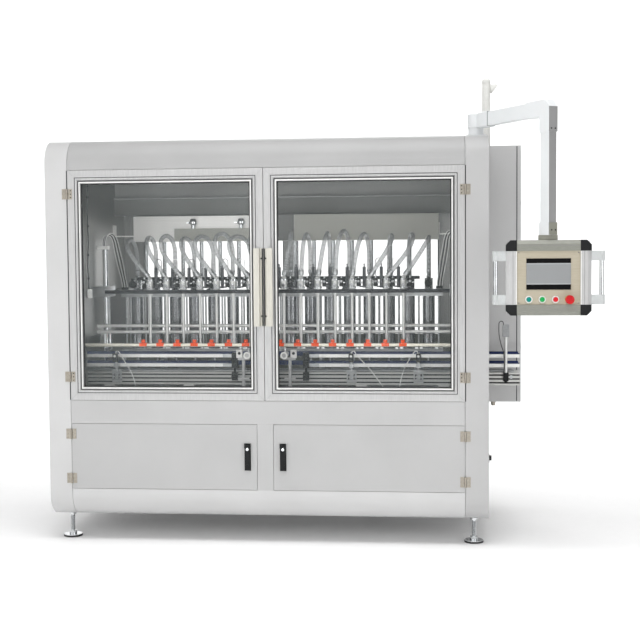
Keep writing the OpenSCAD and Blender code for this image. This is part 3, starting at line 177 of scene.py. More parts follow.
# %% One function for coats, metals and plastics
def surface(name, tones, grains, gloss, relief, drift=None, **values):
    """A finish whose tone, gloss and relief follow one noise; a drift gives the tone its own."""
    material, tree, shader, place = new_finish(name)
    fine = grain(tree, place, grains)
    slow = grain(tree, place, drift) if drift else fine
    strength, depth_mm = relief
    bump = add(tree, "ShaderNodeBump", {"Height": fine, "Strength": strength, "Distance": depth_mm * MM})
    tree.links.new(two_tone(tree, between(tree, slow, 0, 1), *tones), shader.inputs["Base Color"])
    tree.links.new(between(tree, fine, *gloss), shader.inputs["Roughness"])
    tree.links.new(bump.outputs[0], shader.inputs["Normal"])
    for label, value in values.items():
        shader.inputs[label].default_value = value
    return material


# %% [markdown]
# The housing, doors, cabinet and arm are powder-coated steel. The powder melts into a satin skin
# with a slight orange peel, so its gloss wavers, and its grey drifts a little over a large panel.
# Real peel is about 1 mm wide and would vanish at this distance: it is drawn 6 mm wide.

# %% Powder coats
PEEL_MM, DRIFT_MM = [6] * 3, [420] * 3


def powder_coat(name, dark, light, roughness=0.42):
    gloss = (roughness - 0.05, roughness + 0.05)
    return surface(name, (dark, light), PEEL_MM, gloss, (0.04, 0.6), DRIFT_MM)


housing_coat = powder_coat("powder_coated_housing_steel", "#AEAEAE", "#B4B4B4")
# The top cover wears the housing's paint. Its coat is a darker copy, painted shade that offsets the extra
# light the top gets.
painted_shade_top_coat = powder_coat("painted_shade_cover_steel", "#A4A4A4", "#AAAAAA")
# The left end and the bottom cover wear the housing's paint too. Their coat is a lighter copy, painted light
# from the left and from the floor.
painted_light_end_coat = powder_coat("painted_light_end_steel", "#BDBDBD", "#C3C3C3")
door_coat = powder_coat("powder_coated_door_steel", "#ABABAB", "#B1B1B1")
cabinet_coat = powder_coat("powder_coated_cabinet_steel", "#BABABA", "#C2C2C2", 0.45)
arm_coat = powder_coat("powder_coated_arm_aluminium", "#DADDDE", "#E2E4E5", 0.4)
drive_coat = powder_coat("painted_actuator_casting", "#585D63", "#666B70", 0.5)
olive_coat = powder_coat("painted_olive_grey_casting", "#76766B", "#828277", 0.45)
# A mid grey that is painted shade, on the arm's end face and on the service box beside the left lining.
painted_shade_coat = powder_coat("painted_shade_grey_aluminium", "#828282", "#8C8C8C")
duct_coat = powder_coat("powder_coated_duct_steel", "#9A9A98", "#A2A2A0", 0.45)
# A darker grey for dark joints and grooves, and as painted shade on the band between the tank and the duct.
shade_and_joint_coat = powder_coat("painted_shade_and_joint_steel", "#7A7A78", "#828280", 0.45)
cover_coat = powder_coat("powder_coated_tank_cover", "#BCBCB3", "#C4C4BB", 0.45)
print("powder coats:", [m.name for m in bpy.data.materials if m.name.startswith(("powder", "painted"))])

# %% [markdown]
# Metal shows how it was made. Brushed sheet has long hairlines, drawn here 3 mm wide so that they
# show. Drawn tube and turned parts are polished, with a faint waver in the gloss. Anodised
# extrusions are matt and even, with die lines along them.


# %% Metals
def metal(name, dark, light, grains, gloss, strength, metallic=1.0):
    return surface(name, (dark, light), grains, gloss, (strength, 0.4), Metallic=metallic)


brushed_sheet = metal("brushed_stainless_sheet", "#A9ABAC", "#C4C6C7", (400, 400, 3), (0.26, 0.4), 0.10)
lining_sheet = metal("brushed_stainless_lining", "#90908E", "#A4A4A2", (3, 300, 300), (0.27, 0.37), 0.08)
polished_tube = metal("polished_stainless", "#C2C5C7", "#DCDEDF", (40, 40, 90), (0.07, 0.14), 0.03)
anodised = metal("anodised_aluminium", "#B2B2B2", "#BDBDBD", (5, 5, 60), (0.42, 0.52), 0.04, 0.35)
dark_anodised = metal("black_anodised_aluminium", "#222325", "#34363A", (60, 5, 5), (0.3, 0.42), 0.04, 0.7)
beam_alloy = metal("mill_finish_aluminium", "#B4B4B1", "#C2C2BF", (120, 4, 4), (0.36, 0.48), 0.06, 0.6)
rim_alloy = metal("satin_grey_aluminium", "#7E7F77", "#8B8C84", (30, 30, 3), (0.42, 0.54), 0.05, 0.3)
tank_sheet = metal("satin_stainless_tank", "#EDECE9", "#F6F5F2", (400, 400, 4), (0.38, 0.5), 0.06, 0.8)
handle_alloy = metal("champagne_anodised_aluminium", "#BFBCB3", "#CBC8BF", (4, 4, 90), (0.42, 0.52), 0.04,
                     0.3)
plate_alloy = metal("brushed_champagne_plate", "#A8A08D", "#B5AD9B", (60, 60, 2), (0.4, 0.52), 0.06, 0.3)
nickel = metal("cast_nickel_zinc", "#979187", "#ACA69B", (8, 8, 8), (0.3, 0.45), 0.12)
bronze_bar = metal("aluminium_bronze_bar", "#D8D4C4", "#E6E2D4", (60, 5, 5), (0.3, 0.42), 0.05, 0.5)
rail_alloy = metal("bright_drawn_aluminium", "#E4E4E1", "#EEEEEB", (90, 5, 5), (0.34, 0.44), 0.04, 0.5)
satin_tube = metal("satin_stainless_tube", "#D2D3D1", "#E2E3E1", (6, 6, 60), (0.3, 0.42), 0.05, 0.6)
honed_tube = metal("honed_stainless_cylinder", "#85878A", "#A2A4A6", (30, 30, 90), (0.12, 0.22), 0.03)
gunmetal = metal("blackened_steel", "#45464A", "#5E5F62", (6, 6, 40), (0.28, 0.4), 0.05, 0.85)
print("metals:", [m.name for m in (brushed_sheet, polished_tube, anodised, nickel, bronze_bar)])

# %% [markdown]
# Moulded plastics and rubber are coloured right through. A mould leaves a fine grain, which
# breaks up the highlight; the button lenses are smooth and clear-coated instead.


# %% Plastics and rubber
def moulded(name, dark, light, grain_mm, roughness, coat=0.0, shine=0.5):
    gloss = (roughness - 0.06, roughness + 0.06)
    values = {"Coat Weight": coat, "Specular IOR Level": shine}
    return surface(name, (dark, light), [grain_mm] * 3, gloss, (0.12, 0.4), **values)


black_abs = moulded("grained_black_abs", "#121314", "#1E1F20", 3, 0.5, shine=0.2)
white_abs = moulded("moulded_white_abs", "#E6E6E3", "#EFEFEC", 5, 0.35)
orange_pom = moulded("moulded_orange_acetal", "#E2440A", "#F05614", 4, 0.42, shine=0.2)
blue_pe = moulded("slippery_blue_polyethylene", "#16244E", "#1E2F5E", 12, 0.38, shine=0.25)
rubber = moulded("black_epdm_rubber", "#1D1D1E", "#2B2B2C", 4, 0.62)
grey_pvc = moulded("grey_pvc_trunking", "#8E9091", "#9A9C9D", 8, 0.5)
cable_white = moulded("white_pvc_cable_sheath", "#DCDCDA", "#E8E8E6", 6, 0.4)
teal_lens = moulded("teal_acrylic_lens", "#05756C", "#088A80", 6, 0.2, 0.3, 0.25)
green_lens = moulded("green_acrylic_lens", "#0C9446", "#12A652", 6, 0.2, 0.3, 0.25)
red_lens = moulded("red_acrylic_lens", "#B80E18", "#CA1820", 6, 0.2, 0.3, 0.25)
red_abs = moulded("moulded_red_abs", "#B00C14", "#BE141C", 5, 0.35, 0.15, 0.25)
yellow_abs = moulded("moulded_yellow_abs", "#E3B21A", "#EFC02A", 5, 0.4)
silver_nylon = moulded("silver_grey_nylon", "#B2B5B5", "#BCBFBF", 5, 0.45)
pole_abs = moulded("aged_white_abs", "#DADAD6", "#E2E2DE", 6, 0.4)
print("plastics: fourteen moulded and extruded finishes")

# %% [markdown]
# The doors hold toughened glass. A path tracer could bend light through it, but a thin pane moves
# nothing that it shows, so the pane is mostly see-through, with a faint green-blue body and a
# little dust that lifts its haze in soft patches.

# %% Glass
door_glass, tree, shader, place = new_finish("toughened_float_glass")
dust = grain(tree, place, (500, 500, 900))
shader.inputs["Base Color"].default_value = linear("#DCE6E6")
shader.inputs["Roughness"].default_value = 0.03
shader.inputs["IOR"].default_value = 1.52
tree.links.new(between(tree, dust, 0.02, 0.05), shader.inputs["Alpha"])
print("glass:", door_glass.name)

# %% [markdown]
# The product hoses are clear PVC with a polyester braid inside the wall. The braid is two sets of
# threads that wind opposite ways. The hose's own UV map runs once round and along it in turns of
# its girth, so two diagonal waves of equal count draw the crossing threads, 12 of each. As in glass,
# one looks through more wall near the rim of a tube, so the wall is denser there.

# %% Braided hose
braided_hose, tree, shader, _ = new_finish("braided_clear_pvc_hose")
THREADS = 12
along_hose = add(tree, "ShaderNodeTexCoord").outputs["UV"]
threads = []
for hand in (1, -1):
    wind = add(tree, "ShaderNodeMapping", {"Vector": along_hose, "Scale": (1, hand, 0)})
    wave = {"Vector": wind.outputs[0], "Scale": 2 * math.pi * THREADS / 10}
    threads.append(add(tree, "ShaderNodeTexWave", wave, bands_direction="DIAGONAL").outputs["Fac"])
braid = add(tree, "ShaderNodeMath", {0: threads[0], 1: threads[1]}, operation="MAXIMUM").outputs[0]
braid = add(tree, "ShaderNodeMapRange", {"Value": braid, "From Min": 0.75}).outputs["Result"]
tree.links.new(two_tone(tree, braid, "#858A8B", "#E8EAEA"), shader.inputs["Base Color"])
rim = add(tree, "ShaderNodeLayerWeight", {"Blend": 0.5}).outputs["Facing"]
rim = add(tree, "ShaderNodeMapRange", {"Value": rim, "From Min": 0.3, "From Max": 0.8}).outputs["Result"]
wall = add(tree, "ShaderNodeMath", {0: between(tree, braid, 0.42, 0.72), 1: rim}, operation="MAXIMUM")
tree.links.new(wall.outputs[0], shader.inputs["Alpha"])
shader.inputs["Roughness"].default_value = 0.12
shader.inputs["IOR"].default_value = 1.53
print("hose:", braided_hose.name)

# %% [markdown]
# The operator panel's display is dark glass over a grey picture area with a black band above and
# below. The bands are steps along Z, so a colour ramp with hard stops draws them.

# %% Display glass
PANEL_X, PANEL_Y, PANEL_Z = 1425.504, -341.730, 1404
SCREEN_FOOT, SCREEN_TOP = 1347.2 * MM, 1496.8 * MM
display_glass, tree, shader, place = new_finish("dark_display_glass")
height = add(tree, "ShaderNodeSeparateXYZ", {0: place}).outputs[2]
bands = {"Value": height, "From Min": SCREEN_FOOT, "From Max": SCREEN_TOP}
steps = add(tree, "ShaderNodeMapRange", bands)
ramp = add(tree, "ShaderNodeValToRGB", {"Fac": steps.outputs[0]})
ramp.color_ramp.interpolation = "CONSTANT"
BLACK, LIGHT, GREY = "#0A0A0B", "#A2A4A5", "#8C8E8F"
for stop, shade in ((0.0, BLACK), (0.165, LIGHT), (0.20, GREY), (0.81, LIGHT), (0.845, BLACK)):
    part = ramp.color_ramp.elements[0] if stop == 0 else ramp.color_ramp.elements.new(stop)
    part.position, part.color = stop, linear(shade)
ramp.color_ramp.elements.remove(ramp.color_ramp.elements[-1])
tree.links.new(ramp.outputs[0], shader.inputs["Base Color"])
smear = grain(tree, place, (30, 30, 30))
tree.links.new(between(tree, smear, 0.1, 0.2), shader.inputs["Roughness"])
shader.inputs["Specular IOR Level"].default_value = 0.15
print("display:", display_glass.name)

# %% [markdown]
# Each node of the solid model now takes its finish. A node keeps its mesh, so only its material
# slot changes.

# %% Finishes for the solid model
FINISH_OF = {
    housing_coat: ["right_end_housing", "waist_panels", "rear_wall"],
    # Below: painted shade on the top cover, and painted light on the left end and the bottom cover.
    painted_shade_top_coat: ["top_cover"],
    painted_light_end_coat: ["left_end_housing", "bottom_cover"],
    door_coat: ["left_base_door", "right_base_door"],
    cabinet_coat: ["electrical_cabinet", "cabinet_door", "hmi_case"],
    arm_coat: ["arm_pedestal", "hmi_arm"],
    drive_coat: ["drive_actuator"],
    tank_sheet: ["product_tank"],
    dark_anodised: ["nozzle_bar"],
    beam_alloy: ["conveyor_beams"],
    rim_alloy: ["hmi_frame"],
    brushed_sheet: ["frame_tubes", "machine_table", "cylinder_stand", "conveyor_chain", "rail_brackets",
                    "drive_beam", "drive_drum", "idler_drum", "infeed_stop", "outfeed_stop"],
    lining_sheet: ["inner_panels"],
    polished_tube: ["dosing_valves", "feed_tubes", "lift_units", "levelling_feet", "pistons",
                    "hmi_handles"],
    satin_tube: ["nozzles"],
    honed_tube: ["cylinder_tubes"],
    anodised: ["left_door_frame", "right_door_frame", "stop_cylinders"],
    rail_alloy: ["guide_rails", "guide_bars"],
    handle_alloy: ["left_door_handle", "right_door_handle"],
    plate_alloy: ["hmi_front"],
    nickel: ["hinge_frame_leaves"],
    door_glass: ["left_door_glass", "right_door_glass", "rear_glass"],
    black_abs: ["photo_eyes", "left_latch_lever", "right_latch_lever"],
    white_abs: ["signal_pole"],
    orange_pom: ["neck_guides"],
    blue_pe: ["rail_strips"],
    teal_lens: ["start_button"],
    green_lens: ["reset_button"],
    red_lens: ["stop_button"],
    red_abs: ["emergency_stop"],
}
for finish, names in FINISH_OF.items():
    for name in names:
        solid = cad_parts[name]
        solid.data.materials.clear()
        solid.data.materials.append(finish)
print("finished nodes:", sum(len(names) for names in FINISH_OF.values()))

# %% [markdown]
# Some nodes hold parts of several materials, such as a base door with its hinge leaves and latch
# plate. Their faces are sorted by place: a test on a face's centre, in shop millimetres, tells
# which faces take the second finish.


# %% Second finishes, face by face
def refinish(node, finish, test):
    """Give a second finish to the faces of a node that pass a test on their centre."""
    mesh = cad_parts[node].data
    mesh.materials.append(finish)
    changed = 0
    for face in mesh.polygons:
        x, y, z = (face.center - spot(0, 0, 0)) / MM
        if test(x, y, z):
            face.material_index = len(mesh.materials) - 1
            changed += 1
    print("second finish:", finish.name, "on", changed, "faces of", node)


PANEL_HALF, PANEL_CORNER, HINGES = 149.6, 128.1, 1010
for side in ("left", "right"):
    refinish(f"{side}_base_door", nickel, lambda x, y, z: abs(x) > HINGES and y < -0.1)
    refinish(f"{side}_base_door", black_abs, lambda x, y, z: abs(x) < 120 and y < -0.1)
    refinish(f"{side}_door_handle", nickel, lambda x, y, z: abs(x) > HINGES)
refinish("hmi_frame", anodised, lambda x, y, z: abs(x - PANEL_X) > PANEL_HALF)
refinish("hmi_frame", black_abs, lambda x, y, z: abs(x - PANEL_X) > PANEL_HALF
         and abs(z - PANEL_Z) > PANEL_CORNER)
refinish("hmi_handles", silver_nylon, lambda x, y, z: abs(z - PANEL_Z) > 80.5 or abs(x - PANEL_X) < 236)
refinish("hmi_front", polished_tube, lambda x, y, z: z < 1317 and y < -375.8)
refinish("hmi_case", olive_coat, lambda x, y, z: z > 1584.5)
ARM_X, ARM_Y, ARM_REACH, ARM_TURN = 1100, 200, 632, math.radians(-59)
# Painted shade: the arm's end face, turned away from the light, takes the mid grey.
refinish("hmi_arm", painted_shade_coat, lambda x, y, z: z < 2222 and math.cos(ARM_TURN) * (x - ARM_X)
         + math.sin(ARM_TURN) * (y - ARM_Y) > ARM_REACH + 34.8)
refinish("right_end_housing", black_abs, lambda x, y, z: x > 1160.1)
refinish("inner_panels", duct_coat, lambda x, y, z: y > 905 and z > 1868.5)
# Painted shade: the band below the duct takes the darker grey.
refinish("inner_panels", shade_and_joint_coat, lambda x, y, z: y > 905 and 1760 < z < 1868.5)
# Painted shade on the service box at the left of the lining.
refinish("inner_panels", painted_shade_coat, lambda x, y, z: -1039.9 < x < -930 and 1100 < z < 1340)
refinish("electrical_cabinet", nickel, lambda x, y, z: z < 690 or y > 1080.1)
refinish("guide_bars", bronze_bar, lambda x, y, z: y < 300)
refinish("photo_eyes", satin_tube, lambda x, y, z: x > 1200 and z < 1071.9)
refinish("photo_eyes", black_abs, lambda x, y, z: x > 1200 and z < 883)
refinish("photo_eyes", grey_pvc, lambda x, y, z: x > 1200 and z > 1071.9)
refinish("rail_brackets", black_abs, lambda x, y, z: y < 450 and (-235 < x < -201 or 161 < x < 195))
refinish("stop_cylinders", white_abs, lambda x, y, z: z > 964.5 and (x < -165 or x > 98))
refinish("conveyor_beams", black_abs, lambda x, y, z: abs(abs(y - 450) - 75) < 0.2 and z > 806)
refinish("nozzle_bar", brushed_sheet, lambda x, y, z: abs(x) > 964.9)
refinish("product_tank", cover_coat, lambda x, y, z: y < 849.9)
# The rear wall's inner face is lined, and its darker lining is also painted shade on the columns beside the
# windows.
refinish("rear_wall", lining_sheet, lambda x, y, z: y < 1147.1)
refinish("lift_units", white_abs, lambda x, y, z: z > 1560)

# %% [markdown]
# The new pieces are modelled as by hand. A block starts as a cube at its size and place, and its
# edges are bevelled. A turned piece starts as a circle that is extruded along its axis and
# resized at each step, as a lathe would cut it.

# %% Blocks and turned pieces
UP, FORWARD, REARWARD, ACROSS = (0, 0, 1), (0, -1, 0), (0, 1, 0), (1, 0, 0)
SIDES = (("left", -1), ("right", 1))


def pick(*objects):
    """Select these objects and nothing else; the first becomes the active one."""
    bpy.ops.object.select_all(action="DESELECT")
    for thing in objects:
        thing.select_set(True)
    bpy.context.view_layer.objects.active = objects[0]


def settle(name):
    """Write the active object's place into its mesh and name it."""
    bpy.ops.object.transform_apply(location=True, rotation=True, scale=True)
    bpy.context.object.name = name
    return bpy.context.object


def edit(kind="VERT", select="SELECT"):
    """Open the active mesh for editing by corner, edge or face, with all or nothing selected."""
    bpy.ops.object.mode_set(mode="EDIT")
    bpy.ops.mesh.select_mode(type=kind)
    bpy.ops.mesh.select_all(action=select)


def face_outwards():
    """Turn every face of the open mesh outwards."""
    bpy.ops.mesh.select_all(action="SELECT")
    bpy.ops.mesh.normals_make_consistent(inside=False)


def done():
    """Close the mesh again."""
    bpy.ops.object.mode_set(mode="OBJECT")


def block(name, low, high, edge=1.5):
    """A box between two shop corners, with its edges rounded by `edge` millimetres."""
    low, high = spot(*low), spot(*high)
    size = [abs(length) for length in high - low]
    bpy.ops.object.select_all(action="DESELECT")
    bpy.ops.mesh.primitive_cube_add(size=1, location=(low + high) / 2, scale=size)
    piece = settle(name)
    edit()
    bpy.ops.mesh.bevel(offset=edge * MM, segments=2, affect="EDGES")
    done()
    return piece


def turned(name, foot, axis, outline, sides=32):
    """A lathe piece: outline lists (way along the axis, radius) in millimetres from its foot."""
    axis = Vector(axis).normalized()
    foot = spot(*foot)
    (way, radius), steps = outline[0], outline[1:]
    bpy.ops.object.select_all(action="DESELECT")
    bpy.ops.mesh.primitive_circle_add(vertices=sides, radius=radius * MM, location=foot + axis * way * MM,
                                      rotation=axis.to_track_quat("Z", "Y").to_euler())
    piece = settle(name)
    edit()
    for next_way, next_radius in steps:
        bpy.ops.mesh.extrude_region_move(TRANSFORM_OT_translate={"value": axis * (next_way - way) * MM})
        centre = foot + axis * next_way * MM
        bpy.ops.transform.resize(value=[next_radius / radius] * 3, center_override=centre)
        way, radius = next_way, next_radius
    bpy.ops.mesh.select_all(action="SELECT")
    bpy.ops.mesh.remove_doubles(threshold=0.01 * MM)
    bpy.ops.mesh.fill_holes(sides=0)
    face_outwards()
    done()
    bpy.ops.object.shade_smooth_by_angle(angle=math.radians(35))
    return piece


# %% [markdown]
# A repeated piece is made once, then duplicated to its places and joined, so that a row of screws is
# one piece.


# %% Joining and copying
def merge(name, *parts):
    """Join finished parts into one piece."""
    pick(*parts)
    bpy.ops.object.join()
    return settle(name)


def repeat(piece, places):
    """Copies of a piece at each place, a matrix in scene metres, joined in one mesh."""
    copies = []
    for place in places:
        pick(piece)
        bpy.ops.object.duplicate()
        bpy.context.object.matrix_world = place
        copies.append(bpy.context.object)
    name = piece.name
    bpy.data.objects.remove(piece)
    return merge(name, *copies)


def shifts(*steps):
    """Places that only move a piece, by steps in millimetres."""
    return [Matrix.Translation(Vector(step) * MM) for step in steps]


def along(xs):
    """Places that move a piece to each of these X values."""
    return shifts(*[(x, 0, 0) for x in xs])


# %% [markdown]
# Each finished piece is dressed: it gets its finish and the body that it rides on, which is the fixed
# frame unless it moves.


def dress(piece, finish, body="frame"):
    """Give a piece its finish and the body that it rides on."""
    piece.data.materials.clear()
    piece.data.materials.append(finish)
    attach(piece, body)
    return piece


# %% [markdown]
# Hoses, air tubes and cables follow a route of points. A route is eased into a smooth curve, and a
# round section is swept along it.


# %% Tubes and cords
def tube(name, points, radius):
    """A tube round a route of shop points, with a UV map that runs round it and along it."""
    route = bpy.data.curves.new(name, "CURVE")
    route.dimensions = "3D"
    route.bevel_depth = radius * MM
    route.bevel_resolution = 4
    route.use_fill_caps = True
    line = route.splines.new("POLY")
    line.points.add(len(points) - 1)
    for knot, point in zip(line.points, points):
        knot.co = (*spot(*point), 1)
    piece = bpy.data.objects.new(name, route)
    bpy.context.scene.collection.objects.link(piece)
    pick(piece)
    bpy.ops.object.convert(target="MESH")
    bpy.ops.object.shade_smooth_by_angle(angle=math.radians(50))
    mesh = bpy.context.object.data
    ring = len(mesh.vertices) // len(points)
    girth = 2 * math.pi * radius
    ways = [0.0]
    for one, two in zip(points, points[1:]):
        ways.append(ways[-1] + (Vector(two) - Vector(one)).length / girth)
    layer = mesh.uv_layers.new(name="along_hose")
    for face in mesh.polygons:
        seam = {mesh.loops[i].vertex_index % ring for i in face.loop_indices} >= {0, ring - 1}
        for i in face.loop_indices:
            station, turn = divmod(mesh.loops[i].vertex_index, ring)
            round_it = 1.0 if seam and turn == 0 else turn / ring
            layer.data[i].uv = (round_it, ways[min(station, len(ways) - 1)])
    return bpy.context.object


def eased(points, steps=8):
    """A smooth route through a few shop points."""
    knots = [Vector(p) for p in points]
    ends = [2 * knots[0] - knots[1]] + knots + [2 * knots[-1] - knots[-2]]
    route = []
    for a, b, c, d in zip(ends, ends[1:], ends[2:], ends[3:]):
        for i in range(steps):
            t = i / steps
            route.append(0.5 * (2 * b + (c - a) * t + (2 * a - 5 * b + 4 * c - d) * t ** 2
                                + (3 * b - a - 3 * c + d) * t ** 3))
    return [tuple(p) for p in route + [knots[-1]]]


def measured(points):
    """A route's length in metres."""
    return sum((Vector(b) - Vector(a)).length for a, b in zip(points, points[1:])) * MM


# %% [markdown]
# Sixteen hoses carry the liquid from the dosing valves to the nozzles. Each leans outwards where it
# leaves its nozzle, except for five right of the middle that stand nearly upright, and each comes
# down plumb on its valve. A hose bends evenly, so its arch is drawn as two arcs that meet in one
# tangent: the arc from the nozzle and the arc from the valve run equally far before they meet.
# The nozzle end rises with the nozzle bar.

# %% Product hoses
HEADS, NOZZLE_PITCH, CYLINDER_PITCH = 16, 95, 113
NOZZLE_Y, CYLINDER_Y, SPIGOT_Z = 450, 700, 1395
HOSE_R, PUSHED_ON, LEG = 12, 16, 125
MOST_LEAN, UPRIGHT_LEAN, UPRIGHT_HEADS = 37, 7, range(8, 13)
PLUMB = Vector(UP)


def hose_ends(head):
    """Both ends of a hose with its way out of each, for the right-hand twin of its head."""
    step = max(head, HEADS - 1 - head) - (HEADS - 1) / 2
    lean = UPRIGHT_LEAN if head in UPRIGHT_HEADS else MOST_LEAN
    lean = math.radians(lean + (3 if head % 2 == 0 else -3))
    nozzle = Vector((step * NOZZLE_PITCH, NOZZLE_Y, SPIGOT_Z))
    valve = Vector((step * CYLINDER_PITCH, CYLINDER_Y, SPIGOT_Z))
    return (nozzle, Vector((math.sin(lean), 0, math.cos(lean)))), (valve, PLUMB)


def own_side(point, head):
    """A point of the right-hand twin, mirrored for the left half of the row."""
    return (point[0] if head >= HEADS / 2 else -point[0], point[1], point[2])


def arc(a, way, b, steps=14):
    """Points on the circle that leaves a along a way and ends in b."""
    chord = (b - a).normalized()
    turn = way.angle(chord)
    bend = (b - a).length / (2 * math.sin(turn))
    inward = (chord - way * math.cos(turn)) / math.sin(turn)
    turns = [2 * turn * i / steps for i in range(steps + 1)]
    return [a + bend * (way * math.sin(t) + inward * (1 - math.cos(t))) for t in turns]


def hose_route(head):
    (nozzle, way), (valve, plumb) = hose_ends(head)
    rear_leg = LEG + (head % 3 - 1) * 15
    a, b = nozzle + way * LEG, valve + plumb * rear_leg
    fall, close = (b - a).dot(way - plumb), 1 + way.z
    reach = (math.sqrt(fall ** 2 + 2 * close * (b - a).length_squared) - fall) / (2 * close)
    meet = (a + way * reach + b + plumb * reach) / 2
    route = [nozzle + way * (PUSHED_ON + (LEG - PUSHED_ON) * i / 6) for i in range(6)]
    route += arc(a, way, meet) + arc(b, plumb, meet)[-2::-1]
    route += [valve + plumb * (PUSHED_ON + (rear_leg - PUSHED_ON) * i / 6) for i in range(5, -1, -1)]
    return [own_side(point, head) for point in route]


for head in range(HEADS):
    route = hose_route(head)
    hose = tube(f"product_hose_{head + 1}", route, HOSE_R)
    hose.data.materials.append(braided_hose)
    x, _, z = route[0]
    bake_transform(hose)
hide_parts("product_hoses")
lengths = [round(measured(hose_route(head)), 3) for head in range(HEADS)]

# %% [markdown]
# A worm-drive clamp holds the hose on each valve: a thin steel band with a small screw housing. One
# clamp is made at the shop zero, upright, and copied to the valve end of every hose.

# %% Hose clamps
zero = spot(0, 0, 0)


def on_hose(head, end, rise):
    """The place of a piece that was made upright at the shop zero, on one end of a hose."""
    foot, way = hose_ends(head)[end]
    at, way = spot(*own_side(foot + way * rise, head)), Vector(own_side(way, head))
    stand = way.to_track_quat("Z", "Y").to_matrix().to_4x4()
    return Matrix.Translation(at) @ stand @ Matrix.Translation(-zero)


BAND = [(-5, 12.2), (-5, 13.3), (5, 13.3), (5, 12.2), (-5, 12.2)]
band = turned("hose_clamps", (0, 0, 0), UP, BAND, 24)
housing = block("worm_housing", (-6, -18.9, -4), (6, -12.5, 4), 1.2)
screw = turned("worm_screw", (-9, -15.9, 0), ACROSS, [(0, 3.2), (3, 3.2), (3, 2), (18, 2)], 12)
on_valves = [on_hose(head, 1, 34) for head in range(HEADS)]
clamps = repeat(merge("hose_clamps", band, housing, screw), on_valves)
dress(clamps, polished_tube)
print("hose clamps:", len(clamps.data.polygons), "faces")

# %% [markdown]
# Each nozzle head carries a crimped ferrule on its hose, a small air cylinder that opens and
# shuts the valve, a clamp ring with its wing nut, and a drain plug in front. All are turned or
# bevelled once in the middle and copied along the row. The air cylinders stand on the side towards
# the middle, a little behind the hoses so that none touches the next head's hose.

# %% Nozzle heads
heads_x = [(head - (HEADS - 1) / 2) * NOZZLE_PITCH for head in range(HEADS)]
FERRULE = [(14, 12.3), (14, 13.8), (16, 15), (38, 15), (41, 13.8), (46, 13.8), (46, 12.3), (14, 12.3)]
ferrules = turned("hose_ferrules", (0, 0, 0), UP, FERRULE, 24)
ferrules = repeat(ferrules, [on_hose(head, 0, 0) for head in range(HEADS)])
dress(ferrules, brushed_sheet, "nozzle_carriage")

CYLINDER_OUT, SHUT_OFF_Y = 29, NOZZLE_Y + 26
SHUT_OFF = [(0, 6), (0, 9.3), (8, 9.3), (8, 8.3), (12, 8.3), (12, 9.3), (96, 9.3), (96, 8.2), (100, 8.2),
            (100, 9.3), (114, 9.3), (116, 8), (116, 3), (128, 3), (128, 5), (133, 5)]
barrel = turned("shut_off_barrel", (0, SHUT_OFF_Y, 1338), UP, SHUT_OFF, 24)
lug = block("shut_off_lug", (-24, SHUT_OFF_Y - 14, 1341), (24, SHUT_OFF_Y + 8, 1349), 1)
inward = [x - math.copysign(CYLINDER_OUT, x) for x in heads_x]
shut_off = repeat(merge("shut_off_cylinders", barrel, lug), along(inward))
dress(shut_off, gunmetal, "nozzle_carriage")

CLAMP_Z = 1341
CLAMP_RING = [(-4, 19.2), (-5, 22.5), (5, 22.5), (4, 19.2), (-4, 19.2)]
COLLAR = [(-4, 19.2), (-5, 24), (5, 24), (4, 17), (-4, 17)]
PLUG = [(0, 7), (0, 9), (7, 9), (7, 6), (14, 6), (15, 5)]
CLAMP_BOLT = [(0, 2.5), (24, 2.5), (24, 4.5), (31, 3.5)]
ring = turned("clamp_ring", (0, NOZZLE_Y, CLAMP_Z), UP, CLAMP_RING)
collar = turned("clamp_collar", (0, NOZZLE_Y, CLAMP_Z + 44), UP, COLLAR)
ear = block("clamp_ear", (-5, NOZZLE_Y - 31, CLAMP_Z - 4), (5, NOZZLE_Y - 21, CLAMP_Z + 4), 1)
bolt = turned("clamp_bolt", (-12, NOZZLE_Y - 27, CLAMP_Z), ACROSS, CLAMP_BOLT, 12)
wing = block("clamp_wing", (14, NOZZLE_Y - 38, CLAMP_Z - 1.5), (18, NOZZLE_Y - 16, CLAMP_Z + 1.5), 1.2)
plug = turned("drain_plug", (0, NOZZLE_Y - 38, CLAMP_Z + 14), FORWARD, PLUG, 18)
fittings = repeat(merge("nozzle_fittings", ring, collar, ear, bolt, wing, plug), along(heads_x))
dress(fittings, polished_tube, "nozzle_carriage")
faces = [len(piece.data.polygons) for piece in (ferrules, shut_off, fittings)]
print("nozzle heads:", sum(faces), "faces")

# %% [markdown]
# On its outer side each head has a black pilot block with a chromed spindle nut and two push-in air
# fittings. A dark rail on five brackets ties the blocks together behind the row. Where the hoses
# lean, a thin tube leads from each shut-off cylinder to the next head's block: it turns over at the
# top.

# %% Pilot blocks, rail and head tubes
PILOT_OUT, PILOT_Y, RAIL_Y, RAIL_TOP = 35, 474, 507, 1402
outward = [x + math.copysign(PILOT_OUT, x) for x in heads_x]
body = block("pilot_blocks", (-11, PILOT_Y - 22, 1345), (11, PILOT_Y + 23, 1392), 2)
rib = block("pilot_rib", (-12.5, PILOT_Y - 18, 1352), (12.5, PILOT_Y + 16, 1358), 1)
dress(repeat(merge("pilot_blocks", body, rib), along(outward)), black_abs, "nozzle_carriage")
NUT = [(0, 8), (3, 8), (4, 7), (4, 4), (9, 4), (10, 3)]
PUSH_IN = [(0, 5.5), (5, 5.5), (5, 4.6), (11, 4.6), (12, 3.8), (12, 2)]
nut = turned("pilot_fittings", (0, PILOT_Y - 22, 1374), FORWARD, NUT, 6)
spindle = turned("pilot_spindle", (-21, PILOT_Y - 16, 1367), ACROSS, [(0, 5), (42, 5)], 16)
push_ins = [turned("push_in", (0, PILOT_Y + y, 1392), UP, PUSH_IN, 16) for y in (-12, 8)]
fitted = repeat(merge("pilot_fittings", nut, spindle, *push_ins), along(outward))
dress(fitted, polished_tube, "nozzle_carriage")

